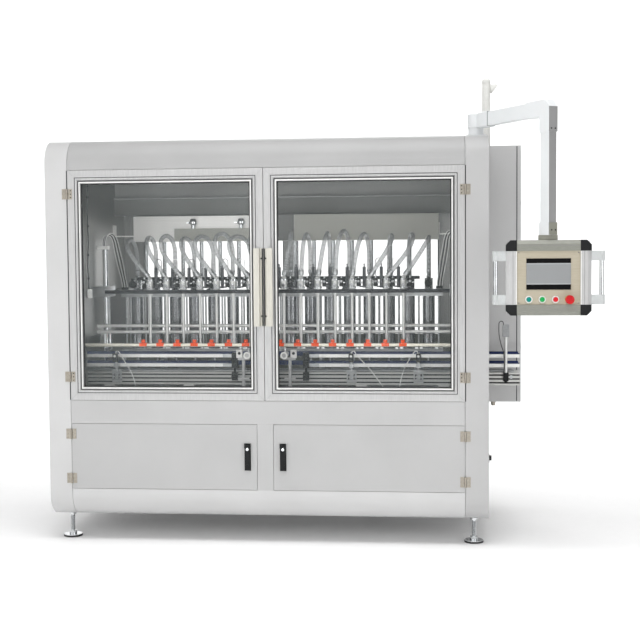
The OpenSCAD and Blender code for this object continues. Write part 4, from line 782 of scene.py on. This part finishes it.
rail = block("pilot_rail", (-800, RAIL_Y - 11, RAIL_TOP - 18), (800, RAIL_Y + 11, RAIL_TOP), 2)
foot = block("pilot_rail_foot", (-11, NOZZLE_Y + 10, 1331.2), (11, RAIL_Y + 6, 1336), 1)
post = block("pilot_rail_post", (-11, RAIL_Y + 1, 1333), (11, RAIL_Y + 6, RAIL_TOP - 16), 1)
posts = repeat(merge("pilot_rail_posts", foot, post), along((-760, -380, 0, 380, 760)))
dress(merge("pilot_rail", rail, posts), dark_anodised, "nozzle_carriage")

HEAD_TUBE_R, TUBE_HEADS = 1.8, (0, 1, 2, 3, 4, 5, 6, 14, 15)
TURN = [math.radians(15 * i) for i in range(13)]
TURN_OVER = [(0, 1468), (0, 1477)]
TURN_OVER += [(0.5 - math.cos(t) / 2, 1487 + 15.5 * math.sin(t)) for t in TURN]
TURN_OVER += [(1, 1460), (1, 1430), (1, 1402)]
BACK = PILOT_Y + 8 - SHUT_OFF_Y
for head in TUBE_HEADS:
    hand = math.copysign(1, heads_x[head])
    start, end = inward[head], heads_x[head] - hand * (NOZZLE_PITCH - PILOT_OUT)
    route = eased([(start + (end - start) * t, SHUT_OFF_Y + BACK * t, z) for t, z in TURN_OVER], 4)
    air = tube(f"head_air_tube_{head + 1}", route, HEAD_TUBE_R)
    dress(air, cable_white if head % 2 else rubber, "nozzle_carriage")
print("pilot blocks:", len(outward), "and head tubes", round(measured(route), 3), "m long")

# %% [markdown]
# A rotary actuator turns each dosing valve between filling its cylinder and emptying it into the
# hose. Its body is a black anodised drum on the valve's front port, with a clamp ring behind it.

# %% Valve actuators
cylinders_x = [(head - (HEADS - 1) / 2) * CYLINDER_PITCH for head in range(HEADS)]
DRUM = [(0, 15.2), (0, 20), (7, 20), (7, 18), (10, 18), (10, 22), (40, 22), (43, 20.5), (43, 8), (46, 8),
        (46, 5), (54, 5)]
drum = turned("valve_actuators", (0, 625, 1360), FORWARD, DRUM)
port = block("actuator_port_block", (-9, 588, 1379), (9, 612, 1392), 1.2)
dress(repeat(merge("valve_actuators", drum, port), along(cylinders_x)), black_abs)
VALVE_Z = 1316
VALVE_RING = [(-6, 32.3), (-7, 35), (7, 35), (6, 32.3), (-6, 32.3)]
VALVE_BOLT = [(0, 3), (26, 3), (26, 5.5), (34, 4)]
ring = turned("valve_clamp_ring", (0, CYLINDER_Y, VALVE_Z), UP, VALVE_RING)
ear = block("valve_clamp_ear", (-6, CYLINDER_Y - 46, VALVE_Z - 5), (6, CYLINDER_Y - 33, VALVE_Z + 5), 1)
bolt = turned("valve_clamp_bolt", (-14, CYLINDER_Y - 41, VALVE_Z), ACROSS, VALVE_BOLT, 12)
dress(repeat(merge("valve_clamp_rings", ring, ear, bolt), along(cylinders_x)), polished_tube)
print("actuators:", len(cylinders_x))

# %% [markdown]
# A rubber gasket holds each pane in its aluminium profile. It is a rectangular ring, made from a
# plane the size of the opening: the plane is inset, its middle is deleted, and the ring that is
# left is extruded towards the glass.


# %% Glass gaskets
def gasket(name, y, low, high, width, depth):
    """A ring at Y between two shop corners in X and Z, extruded backwards by its depth."""
    a, b = spot(low[0], y, low[1]), spot(high[0], y, high[1])
    bpy.ops.object.select_all(action="DESELECT")
    bpy.ops.mesh.primitive_plane_add(size=1, location=(a + b) / 2, rotation=(math.pi / 2, 0, 0))
    bpy.context.object.scale = (abs(b.x - a.x), abs(b.z - a.z), 1)
    piece = settle(name)
    edit()
    bpy.ops.mesh.inset(thickness=width * MM)
    bpy.ops.mesh.delete(type="FACE")
    bpy.ops.mesh.select_all(action="SELECT")
    bpy.ops.mesh.extrude_region_move(TRANSFORM_OT_translate={"value": (0, depth * MM, 0)})
    face_outwards()
    bpy.ops.mesh.bevel(offset=0.6 * MM, segments=1, affect="EDGES")
    done()
    return piece


for side, hand in SIDES:
    name, low, high = f"{side}_door_gasket", (hand * 70.5, 831), (hand * 969, 1904)
    dress(merge(name, *[gasket(name, y, low, high, 5, 4.3) for y in (9.5, 20.2)]), rubber,
          f"{side}_glass_door")
print("gaskets: two, one for each glass door")

# %% [markdown]
# Socket-head screws hold the handles, the hinges and the panels. One is turned for each size: a
# low head with a rounded rim and a hexagon socket, which is a six-sided hole sunk into it.


# %% Screws
BASE_HINGES, DOOR_HINGES = (345, 582), (886, 1849)


def screws(name, places, way, head_r):
    """Socket-head screws at shop places, their heads facing along `way`."""
    tall = head_r * 0.8
    outline = [(0, head_r), (tall - 0.8, head_r), (tall, head_r - 0.8), (tall, head_r * 0.55),
               (tall * 0.3, head_r * 0.5)]
    first = turned(name, places[0], way, outline, 12)
    return repeat(first, shifts(*[Vector(place) - Vector(places[0]) for place in places]))


def leaf_rows(x, heights):
    """Three screws in the hinge leaf at each height."""
    return [(x, -3, z + step) for z in heights for step in (-18, 0, 18)]


for side, hand in SIDES:
    on_handle = screws("handle_screws", [(hand * 11, -3, z) for z in (1205, 1505)], FORWARD, 4.5)
    on_leaf = screws("leaf_screws", leaf_rows(hand * 1021, DOOR_HINGES), FORWARD, 3)
    dress(merge(f"{side}_glass_door_screws", on_handle, on_leaf), black_abs, f"{side}_glass_door")
    on_base = screws(f"{side}_base_door_screws", leaf_rows(hand * 1021, BASE_HINGES), FORWARD, 3)
    dress(on_base, nickel, f"{side}_base_door")
frame_leaf = [place for x in (-1058, 1058) for place in leaf_rows(x, BASE_HINGES + DOOR_HINGES)]
dress(screws("frame_leaf_screws", frame_leaf, FORWARD, 3), nickel)
rear_rows = [(x, 1150, z) for x in range(-1000, 1001, 250) for z in (310, 615, 785, 1950)]
rear_rows += [(x, 1150, z) for x in (-1020, 1020) for z in range(900, 1901, 200)]
dress(screws("rear_panel_screws", rear_rows, REARWARD, 5), polished_tube)
print("screws in the frame and the rear wall:", len(frame_leaf) + len(rear_rows))

# %% [markdown]
# ## Conveyor fittings
# Three bottle sensors watch the lane, and a fourth stands at the outlet. Each has a white dial, and
# its cable arches over the top and runs down to a rubber grommet in the table. The routes are a few
# points read from the picture, eased into one smooth curve.

# %% Sensors and their cables
SENSORS_X = (-887, 428, 794)
CABLE_R = 2.2
CABLES = {
    "left_sensor_cable": [
        (-883, 333, 980), (-882, 332, 992), (-868, 328, 995), (-850, 326, 969), (-826, 326, 929),
        (-794, 326, 875), (-776, 327, 821), (-770, 328, 790), (-769, 328, 768)],
    "middle_sensor_cable": [
        (432, 333, 980), (433, 332, 992), (446, 328, 994), (466, 326, 966), (520, 325, 911),
        (566, 325, 852), (604, 326, 800), (613, 327, 782), (616, 327, 768)],
    "right_sensor_cable": [
        (790, 333, 980), (789, 332, 992), (774, 328, 993), (752, 326, 962), (722, 325, 910),
        (703, 325, 855), (692, 326, 802), (689, 327, 784), (688, 327, 768)],
    "outlet_sensor_cable": [
        (1252, 350, 1133), (1251.5, 350, 1145), (1247, 348.5, 1154), (1238, 345.5, 1157), (1230, 343, 1151),
        (1227, 342, 1138), (1228, 341, 1085), (1239, 341, 1030), (1253, 343, 985), (1256, 347, 930),
        (1256, 358, 890), (1256, 372, 868)],
}
for name, points in CABLES.items():
    route = eased(points)
    cable = tube(name, route, CABLE_R)
    dress(cable, rubber if name == "outlet_sensor_cable" else cable_white)
    print("cable:", name, round(measured(route), 3), "m")
GROMMET = [(-1, 4), (-1, 9), (3, 9), (4.5, 7.5), (4.5, 2.4), (-1, 2.4)]
grommet = turned("cable_grommets", (0, 0, 770), UP, GROMMET, 20)
dress(repeat(grommet, shifts((-769, 328, 0), (616, 327, 0), (688, 327, 0))), rubber)
DIAL = [(0, 7), (2.5, 7), (3.2, 6), (3.2, 3.2), (1.6, 3), (1.6, 0.4)]
dial = turned("sensor_dials", (0, 322, 968), FORWARD, DIAL, 20)
dress(repeat(dial, along(SENSORS_X)), white_abs)
bracket_bolts = [(x + s, 362, z) for x in SENSORS_X for s in (-15, 15) for z in (843, 860)]
dress(screws("bracket_bolts", bracket_bolts, FORWARD, 6), polished_tube)

# %% [markdown]
# The bar that carries the orange neck guides is sleeved, so that it looks as stout as the real one.
# The sleeve is a long turned tube with chamfered ends.

# %% Neck bar sleeve
SLEEVE_L = 2070
SLEEVE = [(0, 6), (0, 8), (1.5, 9.5), (SLEEVE_L - 1.5, 9.5), (SLEEVE_L, 8), (SLEEVE_L, 6)]
dress(turned("neck_bar_sleeve", (-SLEEVE_L / 2, 280, 1033), ACROSS, SLEEVE, 24), bronze_bar)
print("neck bar sleeve:", SLEEVE_L, "mm long")

# %% [markdown]
# Black clamps hold the ends of the front rails beside the two bottle stops. A lobed knob tightens
# each: a turned drum whose every second side face is pushed out. The stops get a white locking ring
# in front, and a small port in their square valves.

# %% Clamp knobs and stop fittings
KNOB_Y, LOBE_STEP = 344, 36
KNOB = [(0, 5), (7, 5), (7, 12), (9, 13), (19, 13), (21, 11), (21, 4), (19, 3.4), (19, 0.4)]
knob = turned("clamp_knobs", (0, KNOB_Y, 0), FORWARD, KNOB, 360 // LOBE_STEP)
edit("FACE", "DESELECT")
done()
for face in knob.data.polygons:
    way = (face.center - spot(0, KNOB_Y, 0)) / MM
    lobe = round(math.degrees(math.atan2(way.z, way.x)) / LOBE_STEP - 0.5) % 2 == 0
    face.select = lobe and abs(way.y + 14) < 4 and math.hypot(way.x, way.z) > 12
bpy.ops.object.mode_set(mode="EDIT")
bpy.ops.mesh.extrude_faces_move(TRANSFORM_OT_shrink_fatten={"value": 3 * MM})
done()
knobs = repeat(knob, shifts((-218, 0, 945), (178, 0, 945), (-218, 0, 855), (178, 0, 855)))
dress(knobs, black_abs)
STOPS_X, STOP_VALVES_X = (-135, 68), (-183, 116)
STOP_RING = [(0, 11), (0, 20), (5, 20), (7, 18.5), (7, 12), (4, 11), (0, 11)]
PORT = [(0, 8), (2, 8), (2, 5), (0.5, 4.5), (0.5, 0.4)]
ELBOW = [(0, 5), (9, 5), (9, 3.8), (12, 3.8), (12, 6), (20, 6), (21, 5)]
locking = turned("stop_locking_rings", (0, 268, 977), FORWARD, STOP_RING)
dress(repeat(locking, along(STOPS_X)), white_abs)
port = turned("stop_valve_ports", (0, 299, 986), FORWARD, PORT, 20)
dress(repeat(port, along(STOP_VALVES_X)), black_abs)
elbow = turned("stop_elbows", (0, 320, 992), UP, ELBOW, 18)
dress(repeat(elbow, along(STOPS_X)), polished_tube)
print("clamp knobs:", len(knobs.data.polygons), "faces")

# %% [markdown]
# Thin polyurethane tubes bring air to the lift cylinder at each end. They rise from its cap, arch
# over and drop to a black valve block on the cylinder stand, spread like fingers. Each row of the
# route gives X, how far X spreads from tube to tube, Y, Z and how far Z rises from tube to tube.

# %% Lift air tubes
AIR_TUBE_R, TUBES = 2.25, 5
AIR_ROUTE = [
    (1006, 0.7, 566, 1579, 0), (1006, 0.7, 566, 1603, 0), (1000, 0.8, 570, 1625, 2), (982, 0.9, 581, 1641, 3),
    (962, 1, 593, 1632, 3), (950, 1.2, 602, 1602, 2), (943, 1.4, 611, 1560, 0), (930, 1.5, 627, 1480, 0),
    (918, 1.2, 641, 1405, 0), (912, 1.2, 648, 1365, 0), (910, 1.2, 650, 1341, 0)]
for side, hand in SIDES:
    for k in range(TUBES):
        lean = (k - 2) * 6
        route = eased([(hand * (x - lean * wide), y, z + rise * k) for x, wide, y, z, rise in AIR_ROUTE])
        air = tube(f"{side}_air_tube_{k + 1}", route, AIR_TUBE_R)
        dress(air, rubber if k % 2 else cable_white)
    valves = block(f"{side}_air_block", (hand * 889, 641, 1310.2), (hand * 928, 662, 1342), 2)
    dress(valves, black_abs)
print("air tubes:", len(SIDES) * TUBES)

# %% [markdown]
# A black cable runs down the left lining from the header to a small white switch, held by clips.
# Between two clips it hangs a little slack.

# %% Lining cable and door switch
LINING_CABLE_R = 3.2
route = eased([
    (-1034, 352, 1972), (-1033, 350, 1930), (-1033, 345, 1850), (-1033.5, 338, 1770), (-1033, 340, 1690),
    (-1033, 346, 1610), (-1033.5, 338, 1530), (-1033, 330, 1453), (-1033, 337, 1400), (-1033, 340, 1365),
    (-1032, 340, 1338)])
lining_cable = tube("lining_cable", route, LINING_CABLE_R)
dress(lining_cable, rubber)
clip = block("cable_clips", (-1037, 338, -5), (-1027.5, 352, 5), 1.2)
clips = repeat(clip, shifts((0, 0, 1850), (0, -1, 1690), (0, -7, 1530), (0, -8, 1400)))
dress(clips, black_abs)
dress(block("door_switch", (-1036.8, 324, 1290), (-1016, 356, 1340), 2.5), white_abs)
print("lining cable:", round(measured(route), 3), "m")

# %% [markdown]
# Two clamped cleaning ports stand on the header box of the product tank: a short pipe, a ring of
# two flanges held by a clamp, and a domed cap.

# %% Tank ports
PIPE = [(0, 12), (22, 12), (26, 20), (29, 24), (41, 24), (44, 20), (52, 19), (58, 14), (60, 5), (60.4, 0.5)]
PORT_BOLT = [(0, 4.5), (6, 4.5), (6, 2.5), (24, 2.5), (24, 5), (31, 4)]
pipe = turned("tank_ports", (0, 832, 1681), UP, PIPE)
ear = block("port_clamp_ear", (-30, 824, 1711), (-22, 840, 1721), 1)
bolt = turned("port_clamp_bolt", (-34, 818, 1716), REARWARD, PORT_BOLT, 12)
ports = repeat(merge("tank_ports", pipe, ear, bolt), along((-540, -253)))
dress(ports, polished_tube)
print("tank ports:", len(ports.data.polygons), "faces")

# %% [markdown]
# A folded sheet covers the right half of the tank, and a darker channel hides the joint beside it.
# The duct above ends in a bright lip, folded angles close the rear corners, and an olive sheet stands
# behind the cylinders to catch splashes. Each is a block with its flanges joined on.

# %% Tank cover, duct lip and corner angles
SPLASH_TOP, COVER_LOW, COVER_TOP = 1040, 1607, 1757
sheet = block("tank_cover", (64, 811.8, COVER_LOW), (905, 815.2, COVER_TOP), 0.8)
flanges = [block("cover_flange", (x, 812, 1683), (x + 3, 850.2, COVER_TOP), 0.8) for x in (64, 902)]
dress(merge("tank_cover", sheet, *flanges), cover_coat)
channel = block("tank_joint_channel", (-62, 809, COVER_LOW), (62, 815.2, COVER_TOP), 1.5)
dress(channel, shade_and_joint_coat)
dress(block("duct_lip", (-1039, 904, 1863), (1039, 910.2, 1869), 1), anodised)
angles = []
for _, hand in SIDES:
    for depth, reach in ((1143.5, 1018), (1118, 1037)):
        low, high = (hand * 1039.9, depth, 771), (hand * reach, 1147.2, 1765)
        angles.append(block("corner_angles", low, high, 0.8))
dress(merge("corner_angles", *angles), lining_sheet)
sheet = block("splash_sheet", (-1036, 1112, 772), (1036, 1115, SPLASH_TOP), 0.8)
fold = block("splash_fold", (-1036, 1112, 772), (1036, 1132, 775), 0.8)
dress(merge("splash_sheet", sheet, fold), olive_coat)
print("tank cover, joint channel, duct lip, splash sheet and", len(angles) // 2, "corner angles")

# %% [markdown]
# ## Doors and housing
# The aluminium door frames are mitred, and a fine dark joint shows across each corner. One joint is
# a thin strip at 45 degrees, copied to the eight corners.

# %% Mitre joints
DOOR_NEAR, DOOR_FAR, DOOR_FOOT, DOOR_HEAD, PROFILE = 1.5, 1038, 762, 1973, 69
for side, hand in SIDES:
    joints = []
    for x, inside in ((DOOR_NEAR, 1), (DOOR_FAR, -1)):
        for z, rise in ((DOOR_FOOT, 1), (DOOR_HEAD, -1)):
            middle = spot(hand * (x + inside * PROFILE / 2), 0, z + rise * PROFILE / 2)
            turn = math.radians(45) * hand * inside * rise
            place = Matrix.Translation(middle) @ Matrix.Rotation(-turn, 4, "Y")
            joints.append(place @ Matrix.Translation(-zero))
    strip = block(f"{side}_mitre_joints", (-47.5, -0.25, -0.5), (47.5, 0.6, 0.5), 0.1)
    dress(repeat(strip, joints), grey_pvc, f"{side}_glass_door")
print("mitre joints: eight")

# %% [markdown]
# The door profile is stepped: two grooves run round the frame, with a bead outside them and a lip
# inside. The grooves are dark rings of painted shadow, and the lip is a bright ring of painted
# highlight. All four are rings like the gaskets. A black seal fills the gap beside the hinges, and its
# black is also the painted shadow of that gap. A black strip lines each pull handle along the meeting
# edge of the doors, as painted shadow inside the handle.

# %% Door beads, groove shadows, lip highlights, seals and handle shadows
def door_ring(name, hand, inset, width, proud, deep):
    """A ring round a door frame, this far in from the frame's edge and proud of its face."""
    low, high = (DOOR_NEAR + inset, DOOR_FOOT + inset), (DOOR_FAR - inset, DOOR_HEAD - inset)
    return gasket(name, -proud, (hand * low[0], low[1]), (hand * high[0], high[1]), width, deep)


for side, hand in SIDES:
    door = f"{side}_glass_door"
    # Painted shadow: the grooves are dark rings.
    grooves = [door_ring("door_groove_shadow", hand, inset, 4, 0.4, 1.2) for inset in (37, 54.5)]
    dress(merge(f"{side}_door_grooves", *grooves), rubber, door)
    dress(door_ring(f"{side}_door_bead", hand, 29, 7, 1.8, 2.4), anodised, door)
    # Painted highlight: the lip is a bright ring.
    dress(door_ring(f"{side}_door_lip_highlight", hand, 61, 6, 0.8, 1.4), rail_alloy, door)
    # A rubber seal whose black is also the painted shadow in the gap beside the hinges.
    seal = block(f"{side}_hinge_seal_gap_shadow", (hand * 1038.7, -0.9, 763), (hand * 1043.5, 0.8, 1972), 0.3)
    dress(seal, rubber)
    # Painted shadow: a black strip where the shadow falls inside each pull handle.
    strip = block(f"{side}_handle_shadow_strip", (hand * 2.6, -3.7, 1154), (hand * 9, -2.8, 1556), 0.2)
    dress(strip, rubber, door)
print("door profiles: two beads, two lips, four grooves, two seals, two strips")

# %% [markdown]
# Each latch has a round key lock in its lever. The levelling feet stand on ribbed rubber pads, and
# their stems are threaded: the thread is drawn as a stack of rings, since its slope can't be seen.

# %% Locks, pads and threads
LATCH_LOCK = [(-1, 8), (1.2, 8), (2, 7), (2, 3), (0.8, 2.6), (0.8, 0.4)]
for side, hand in SIDES:
    lock = turned(f"{side}_latch_lock", (hand * 93.5, -16, 508), FORWARD, LATCH_LOCK, 20)
    dress(lock, polished_tube, f"{side}_latch")
FEET = shifts(*[(x, y, 0) for x in (-1087, 1087) for y in (150, 1000)])
PAD = [(0.2, 44), (0.2, 50), (3, 50.6), (7, 50.6), (9, 49.4), (9, 44), (0.2, 44)]
dress(repeat(turned("foot_pads", (0, 0, 0), UP, PAD, 40), FEET), rubber)
STEM_R, STEM_FOOT, THREAD_PITCH, TURNS = 11, 34, 2.5, 33
ridges = [(STEM_FOOT + THREAD_PITCH * i + step, STEM_R + rise)
          for i in range(TURNS) for step, rise in ((0, 0.1), (1.25, 1.1))]
dress(repeat(turned("foot_threads", (0, 0, 0), UP, ridges, 20), FEET), polished_tube)
print("feet:", len(FEET))

# %% [markdown]
# The electrical cabinet has three quarter-turn locks on its door and a louvred vent low down. A louvre
# is a strip whose lower edge is pulled outwards; one is made and copied.

# %% Cabinet fittings
CABINET_SIDE, LOUVRES = 1361, 8
QUARTER_TURN = [(-1, 13), (2, 13), (3, 12), (3, 7), (1.2, 6.4), (1.2, 0.4)]
lock = turned("cabinet_locks", (CABINET_SIDE, 622, 0), ACROSS, QUARTER_TURN, 24)
locks = repeat(lock, shifts((0, 0, 1000), (0, 0, 1405), (0, 0, 1800)))
dress(locks, polished_tube, "cabinet_door")
louvre = block("cabinet_louvres", (CABINET_SIDE, 770, 0), (CABINET_SIDE + 1.2, 930, 12), 0.4)
edit(select="DESELECT")
done()
for vertex in louvre.data.vertices:
    vertex.select = vertex.co.z < 6 * MM and vertex.co.x > spot(CABINET_SIDE + 0.6, 0, 0).x
bpy.ops.object.mode_set(mode="EDIT")
bpy.ops.transform.translate(value=(7 * MM, 0, 0))
done()
louvres = repeat(louvre, shifts(*[(0, 0, 760 + 22 * i) for i in range(LOUVRES)]))
dress(louvres, cabinet_coat, "cabinet_door")
dress(block("cabinet_seal", (1336, 599.1, 694), (1341, 600.8, 2116), 0.4), rubber)
print("louvres:", LOUVRES)

# %% [markdown]
# The rear windows sit in rubber edging, made as the door gaskets are, and the product inlet ends in
# a clamped ferrule with a wing nut.

# %% Rear windows and inlet
edges = [gasket("rear_window_edging", 1150, (hand * 36, 974), (hand * 911, 1708), 12, 5) for _, hand in SIDES]
dress(merge("rear_window_edging", *edges), rubber)
FLANGE = [(0, 25.8), (3, 33), (7, 37), (21, 37), (25, 33), (28, 25.8), (0, 25.8)]
INLET_BOLT = [(0, 5), (6, 5), (6, 3), (34, 3), (34, 6), (42, 4)]
flange = turned("inlet_clamp", (0, 1180, 1692), REARWARD, FLANGE, 40)
ear = block("inlet_ear", (-50, 1184, 1684), (-35, 1204, 1700), 2)
bolt = turned("inlet_bolt", (-43, 1194, 1674), UP, INLET_BOLT, 12)
wing = block("inlet_wing", (-57, 1192, 1709), (-29, 1196, 1717), 1.5)
dress(merge("inlet_clamp", flange, ear, bolt, wing), polished_tube)
print("rear window edging: two rings, and the inlet clamp")

# %% [markdown]
# The arm's elbow is bolted from its end, and a grey bracket below it carries the panel. Bracket and
# screws are made beside the shop zero and then turned to the arm's direction in one step.

# %% Arm bracket
turn_arm = Matrix.Rotation(ARM_TURN, 4, "Z")
on_arm = [Matrix.Translation(spot(ARM_X, ARM_Y, 0)) @ turn_arm @ Matrix.Translation(-zero)]
bracket = block("arm_bracket", (ARM_REACH + 39.2, -23, 1609), (ARM_REACH + 43, 23, 1667), 1.2)
dress(repeat(bracket, on_arm), olive_coat, "swivel_arm")
ends = [(ARM_REACH + out, y, z) for out, z in ((39, 2112), (43, 1632)) for y in (-11, 11)]
arm_screws = repeat(screws("arm_screws", ends, ACROSS, 3.5), on_arm)
dress(arm_screws, black_abs, "swivel_arm")
socket = block("arm_socket", (48, -26, 2172), (140, 26, 2252), 7)
dress(repeat(socket, on_arm), arm_coat, "swivel_arm")
SEAMS = ((140, 24, 2174, 2250), (479.5, 23, 2174.5, 2249.5))
seams = [block("arm_seams", (x, -half, low), (x + 3, half, high), 0.6) for x, half, low, high in SEAMS]
dress(repeat(merge("arm_seams", *seams), on_arm), grey_pvc, "swivel_arm")
print("arm screws:", len(ends), "and a socket with two seams")

# %% [markdown]
# The signal pole is a stout plastic tube on a foot, with a cap and a horn that opens outwards and
# down. It is turned in two pieces, joined, and shown in place of the plain solid.

# %% Signal pole
POLE = [(0, 19), (8, 19), (8, 18), (20, 18), (20, 22), (23, 24), (376, 24), (378, 23), (382, 23), (384, 24),
        (402, 24), (408, 20), (408, 0.5)]
HORN = [(-6, 9), (6, 13), (17, 25), (29, 31), (34, 31), (34, 28), (26, 23), (12, 9), (12, 0.5)]
column = turned("signal_pole_column", (1180, 900, 2120), UP, POLE)
horn = turned("signal_horn", (1202, 900, 2492), (0.8, 0, -0.6), HORN)
pole = dress(merge("dressed_signal_pole", column, horn), pole_abs)
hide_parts("signal_pole")
print("signal pole:", len(pole.data.polygons), "faces")

# %% [markdown]
# ## Operator panel
# The display sits under a thin sheet of dark glass. Each button has a chromed ring and a domed
# lens. The ring is drawn in a bright alloy, a painted reflection of the chrome. The emergency
# stop has a yellow base and a mushroom head with a hollow rim.

# %% Operator panel
def on_panel(name, xs, ys, zs, edge):
    """A block on the panel's front, in X and Y from the panel's middle and Z from the floor."""
    low, high = zip(xs, ys, zs)
    middle = (PANEL_X, PANEL_Y, 0)
    return block(name, [m + v for m, v in zip(middle, low)], [m + v for m, v in zip(middle, high)], edge)


def push_piece(name, x, outline):
    """A turned piece in the row of buttons."""
    return turned(name, (PANEL_X + x, PANEL_Y - 38, 1301), FORWARD, outline)


display = on_panel("display_glass", (-105, 105), (-36.8, -35.9), (1347.6, 1496.4), 0.4)
dress(display, display_glass, "operator_panel")
BUTTONS = {"start_button": (-93, teal_lens), "reset_button": (-30, green_lens), "stop_button": (33, red_lens)}
STOP_X = 96
BUTTON_RING = [(-2, 17.5), (2, 17.5), (3.4, 16.5), (3.4, 13.2), (2.4, 12.3), (-2, 12.3), (-2, 17.5)]
LENS = [(5.0, 11.75), (6.6, 11.4), (7.4, 10.2), (7.9, 7.0), (8.1, 3.0), (8.15, 0.5)]
# The rings' light alloy is a painted reflection of their chrome.
rings = repeat(push_piece("button_rings_painted_glint", 0, BUTTON_RING), along([x for x, _ in BUTTONS.values()]))
dress(rings, rail_alloy, "operator_panel")
for name, (x, finish) in BUTTONS.items():
    dress(push_piece(f"{name}_lens", x, LENS), finish, name)
STOP_COLLAR = [(-2, 15.6), (-2, 19.5), (1.5, 19.5), (2.5, 18.5), (2.5, 13), (-2, 13), (-2, 15.6)]
MUSHROOM = [(40.5, 21.1), (42.5, 20.6), (44.0, 19.2), (44.6, 17), (44.6, 14), (43.8, 12.5), (43.8, 0.5)]
dress(push_piece("emergency_stop_collar", STOP_X, STOP_COLLAR), yellow_abs, "operator_panel")
dress(push_piece("emergency_stop_cap", STOP_X, MUSHROOM), red_abs, "emergency_stop")
corners = [(PANEL_X + x, PANEL_Y - 34, z) for x in (-140, 140) for z in (1284, 1524)]
dress(screws("face_plate_screws", corners, FORWARD, 3), polished_tube, "operator_panel")
print("operator panel: display,", len(BUTTONS), "lenses and an emergency stop")

# %% [markdown]
# The panel's extruded frame has a fine groove along each side and a bright inner edge beside the
# face plate. They are long thin blocks let into the front of the profile.

# %% Panel grooves and edges
LET_IN, SIDE_Z = (-40.4, -39.4), (1277, 1531)
grooves = [on_panel("panel_grooves", (x, x + 2), LET_IN, SIDE_Z, 0.2) for x in (-169, 167)]
grooves += [on_panel("panel_grooves", (-149, 149), LET_IN, (z, z + 2), 0.2) for z in (1250, 1556)]
dress(merge("panel_grooves", *grooves), shade_and_joint_coat, "operator_panel")
edges = [on_panel("panel_edges", (x, x + 4), LET_IN, SIDE_Z, 0.3) for x in (-154, 150)]
dress(merge("panel_edges", *edges), rail_alloy, "operator_panel")
print("panel profile:", len(grooves), "grooves and", len(edges), "bright edges")

# %% [markdown]
# ## Studio
# The machine stands on a pale floor that curves up behind it, as paper does in a photo studio.
# The floor is a plane whose far edge is extruded upwards, with the corner bevelled round.

# %% Floor
bpy.ops.object.select_all(action="DESELECT")
bpy.ops.mesh.primitive_plane_add(size=40, location=(0, -8, -0.001))
floor = settle("studio_floor")
edit("EDGE", "DESELECT")
done()
for edge in floor.data.edges:
    edge.select = all(floor.data.vertices[i].co.y > 11 for i in edge.vertices)
bpy.ops.object.mode_set(mode="EDIT")
bpy.ops.mesh.extrude_region_move(TRANSFORM_OT_translate={"value": (0, 0, 14)})
bpy.ops.mesh.select_all(action="SELECT")
bpy.ops.mesh.normals_make_consistent(inside=True)
done()
bend = floor.modifiers.new("paper_bend", "BEVEL")
bend.width, bend.segments = 5, 16
pick(floor)
bpy.ops.object.modifier_apply(modifier="paper_bend")
bpy.ops.object.shade_smooth()
paper, tree, shader, place = new_finish("matt_studio_paper")
tooth = grain(tree, place, (60, 60, 60))
tree.links.new(two_tone(tree, tooth, "#F6F6F6", "#FAFAFA"), shader.inputs["Base Color"])
shader.inputs["Roughness"].default_value = 0.9
shader.inputs["Specular IOR Level"].default_value = 0.1
floor.data.materials.append(paper)
print("studio:", floor.name)

# %% [markdown]
# Large soft lights keep the shadows faint. Each row gives a light's place, what it aims at, its size,
# its power and its spread. The paper behind the machine has two washes of its own.

# %% Lights
sky = bpy.data.worlds.new("studio_air")
bpy.context.scene.world = sky
sky.use_nodes = True
air_light = sky.node_tree.nodes["Background"].inputs
air_light["Color"].default_value = (1, 1, 1, 1)
air_light["Strength"].default_value = 0.6
bpy.context.scene.view_settings.view_transform = "Standard"
LIGHTS = {
    "front_softbox": ((-4.8, -5.4, 1.4), (0, 0, 1.0), 4.0, 58, 180),
    "camera_softbox": ((-0.8, -6.6, 3.0), (0, 0.4, 1.4), 3.0, 52, 180),
    "side_softbox": ((4.8, -5.0, 1.6), (0, 0, 1.2), 2.4, 45, 180),
    "overhead_softbox": ((0.0, -1.2, 5.4), (0, -0.2, 1.6), 4.0, 80, 180),
    "floor_wash": ((0.0, -4.0, 6.0), (0, -4.0, 0), 4.0, 115, 70),
    "window_wash": ((0.0, 4.2, 3.6), (0, 0, 1.4), 3.0, 50, 180),
    "paper_wash_left": ((-5.0, 3.0, 6.5), (-2.5, 12, 4.0), 4.0, 450, 180),
    "paper_wash_right": ((5.0, 3.0, 6.5), (2.5, 12, 4.0), 4.0, 450, 180),
}
for name, (at, aim, size, watts, spread) in LIGHTS.items():
    lamp = bpy.data.lights.new(name, "AREA")
    lamp.size, lamp.energy, lamp.spread = size, watts, math.radians(spread)
    holder = bpy.data.objects.new(name, lamp)
    holder.location = at
    holder.rotation_euler = (Vector(aim) - Vector(at)).to_track_quat("-Z", "Y").to_euler()
    bpy.context.scene.collection.objects.link(holder)
print("lights:", len(LIGHTS), "softboxes")

# %% [markdown]
# ## Sizes
# The solid model's box, measured at the start, is taken up again here. The dressed
# machine has to keep the solid model's size.

# %% Sizes and finish
low, high = solid_box
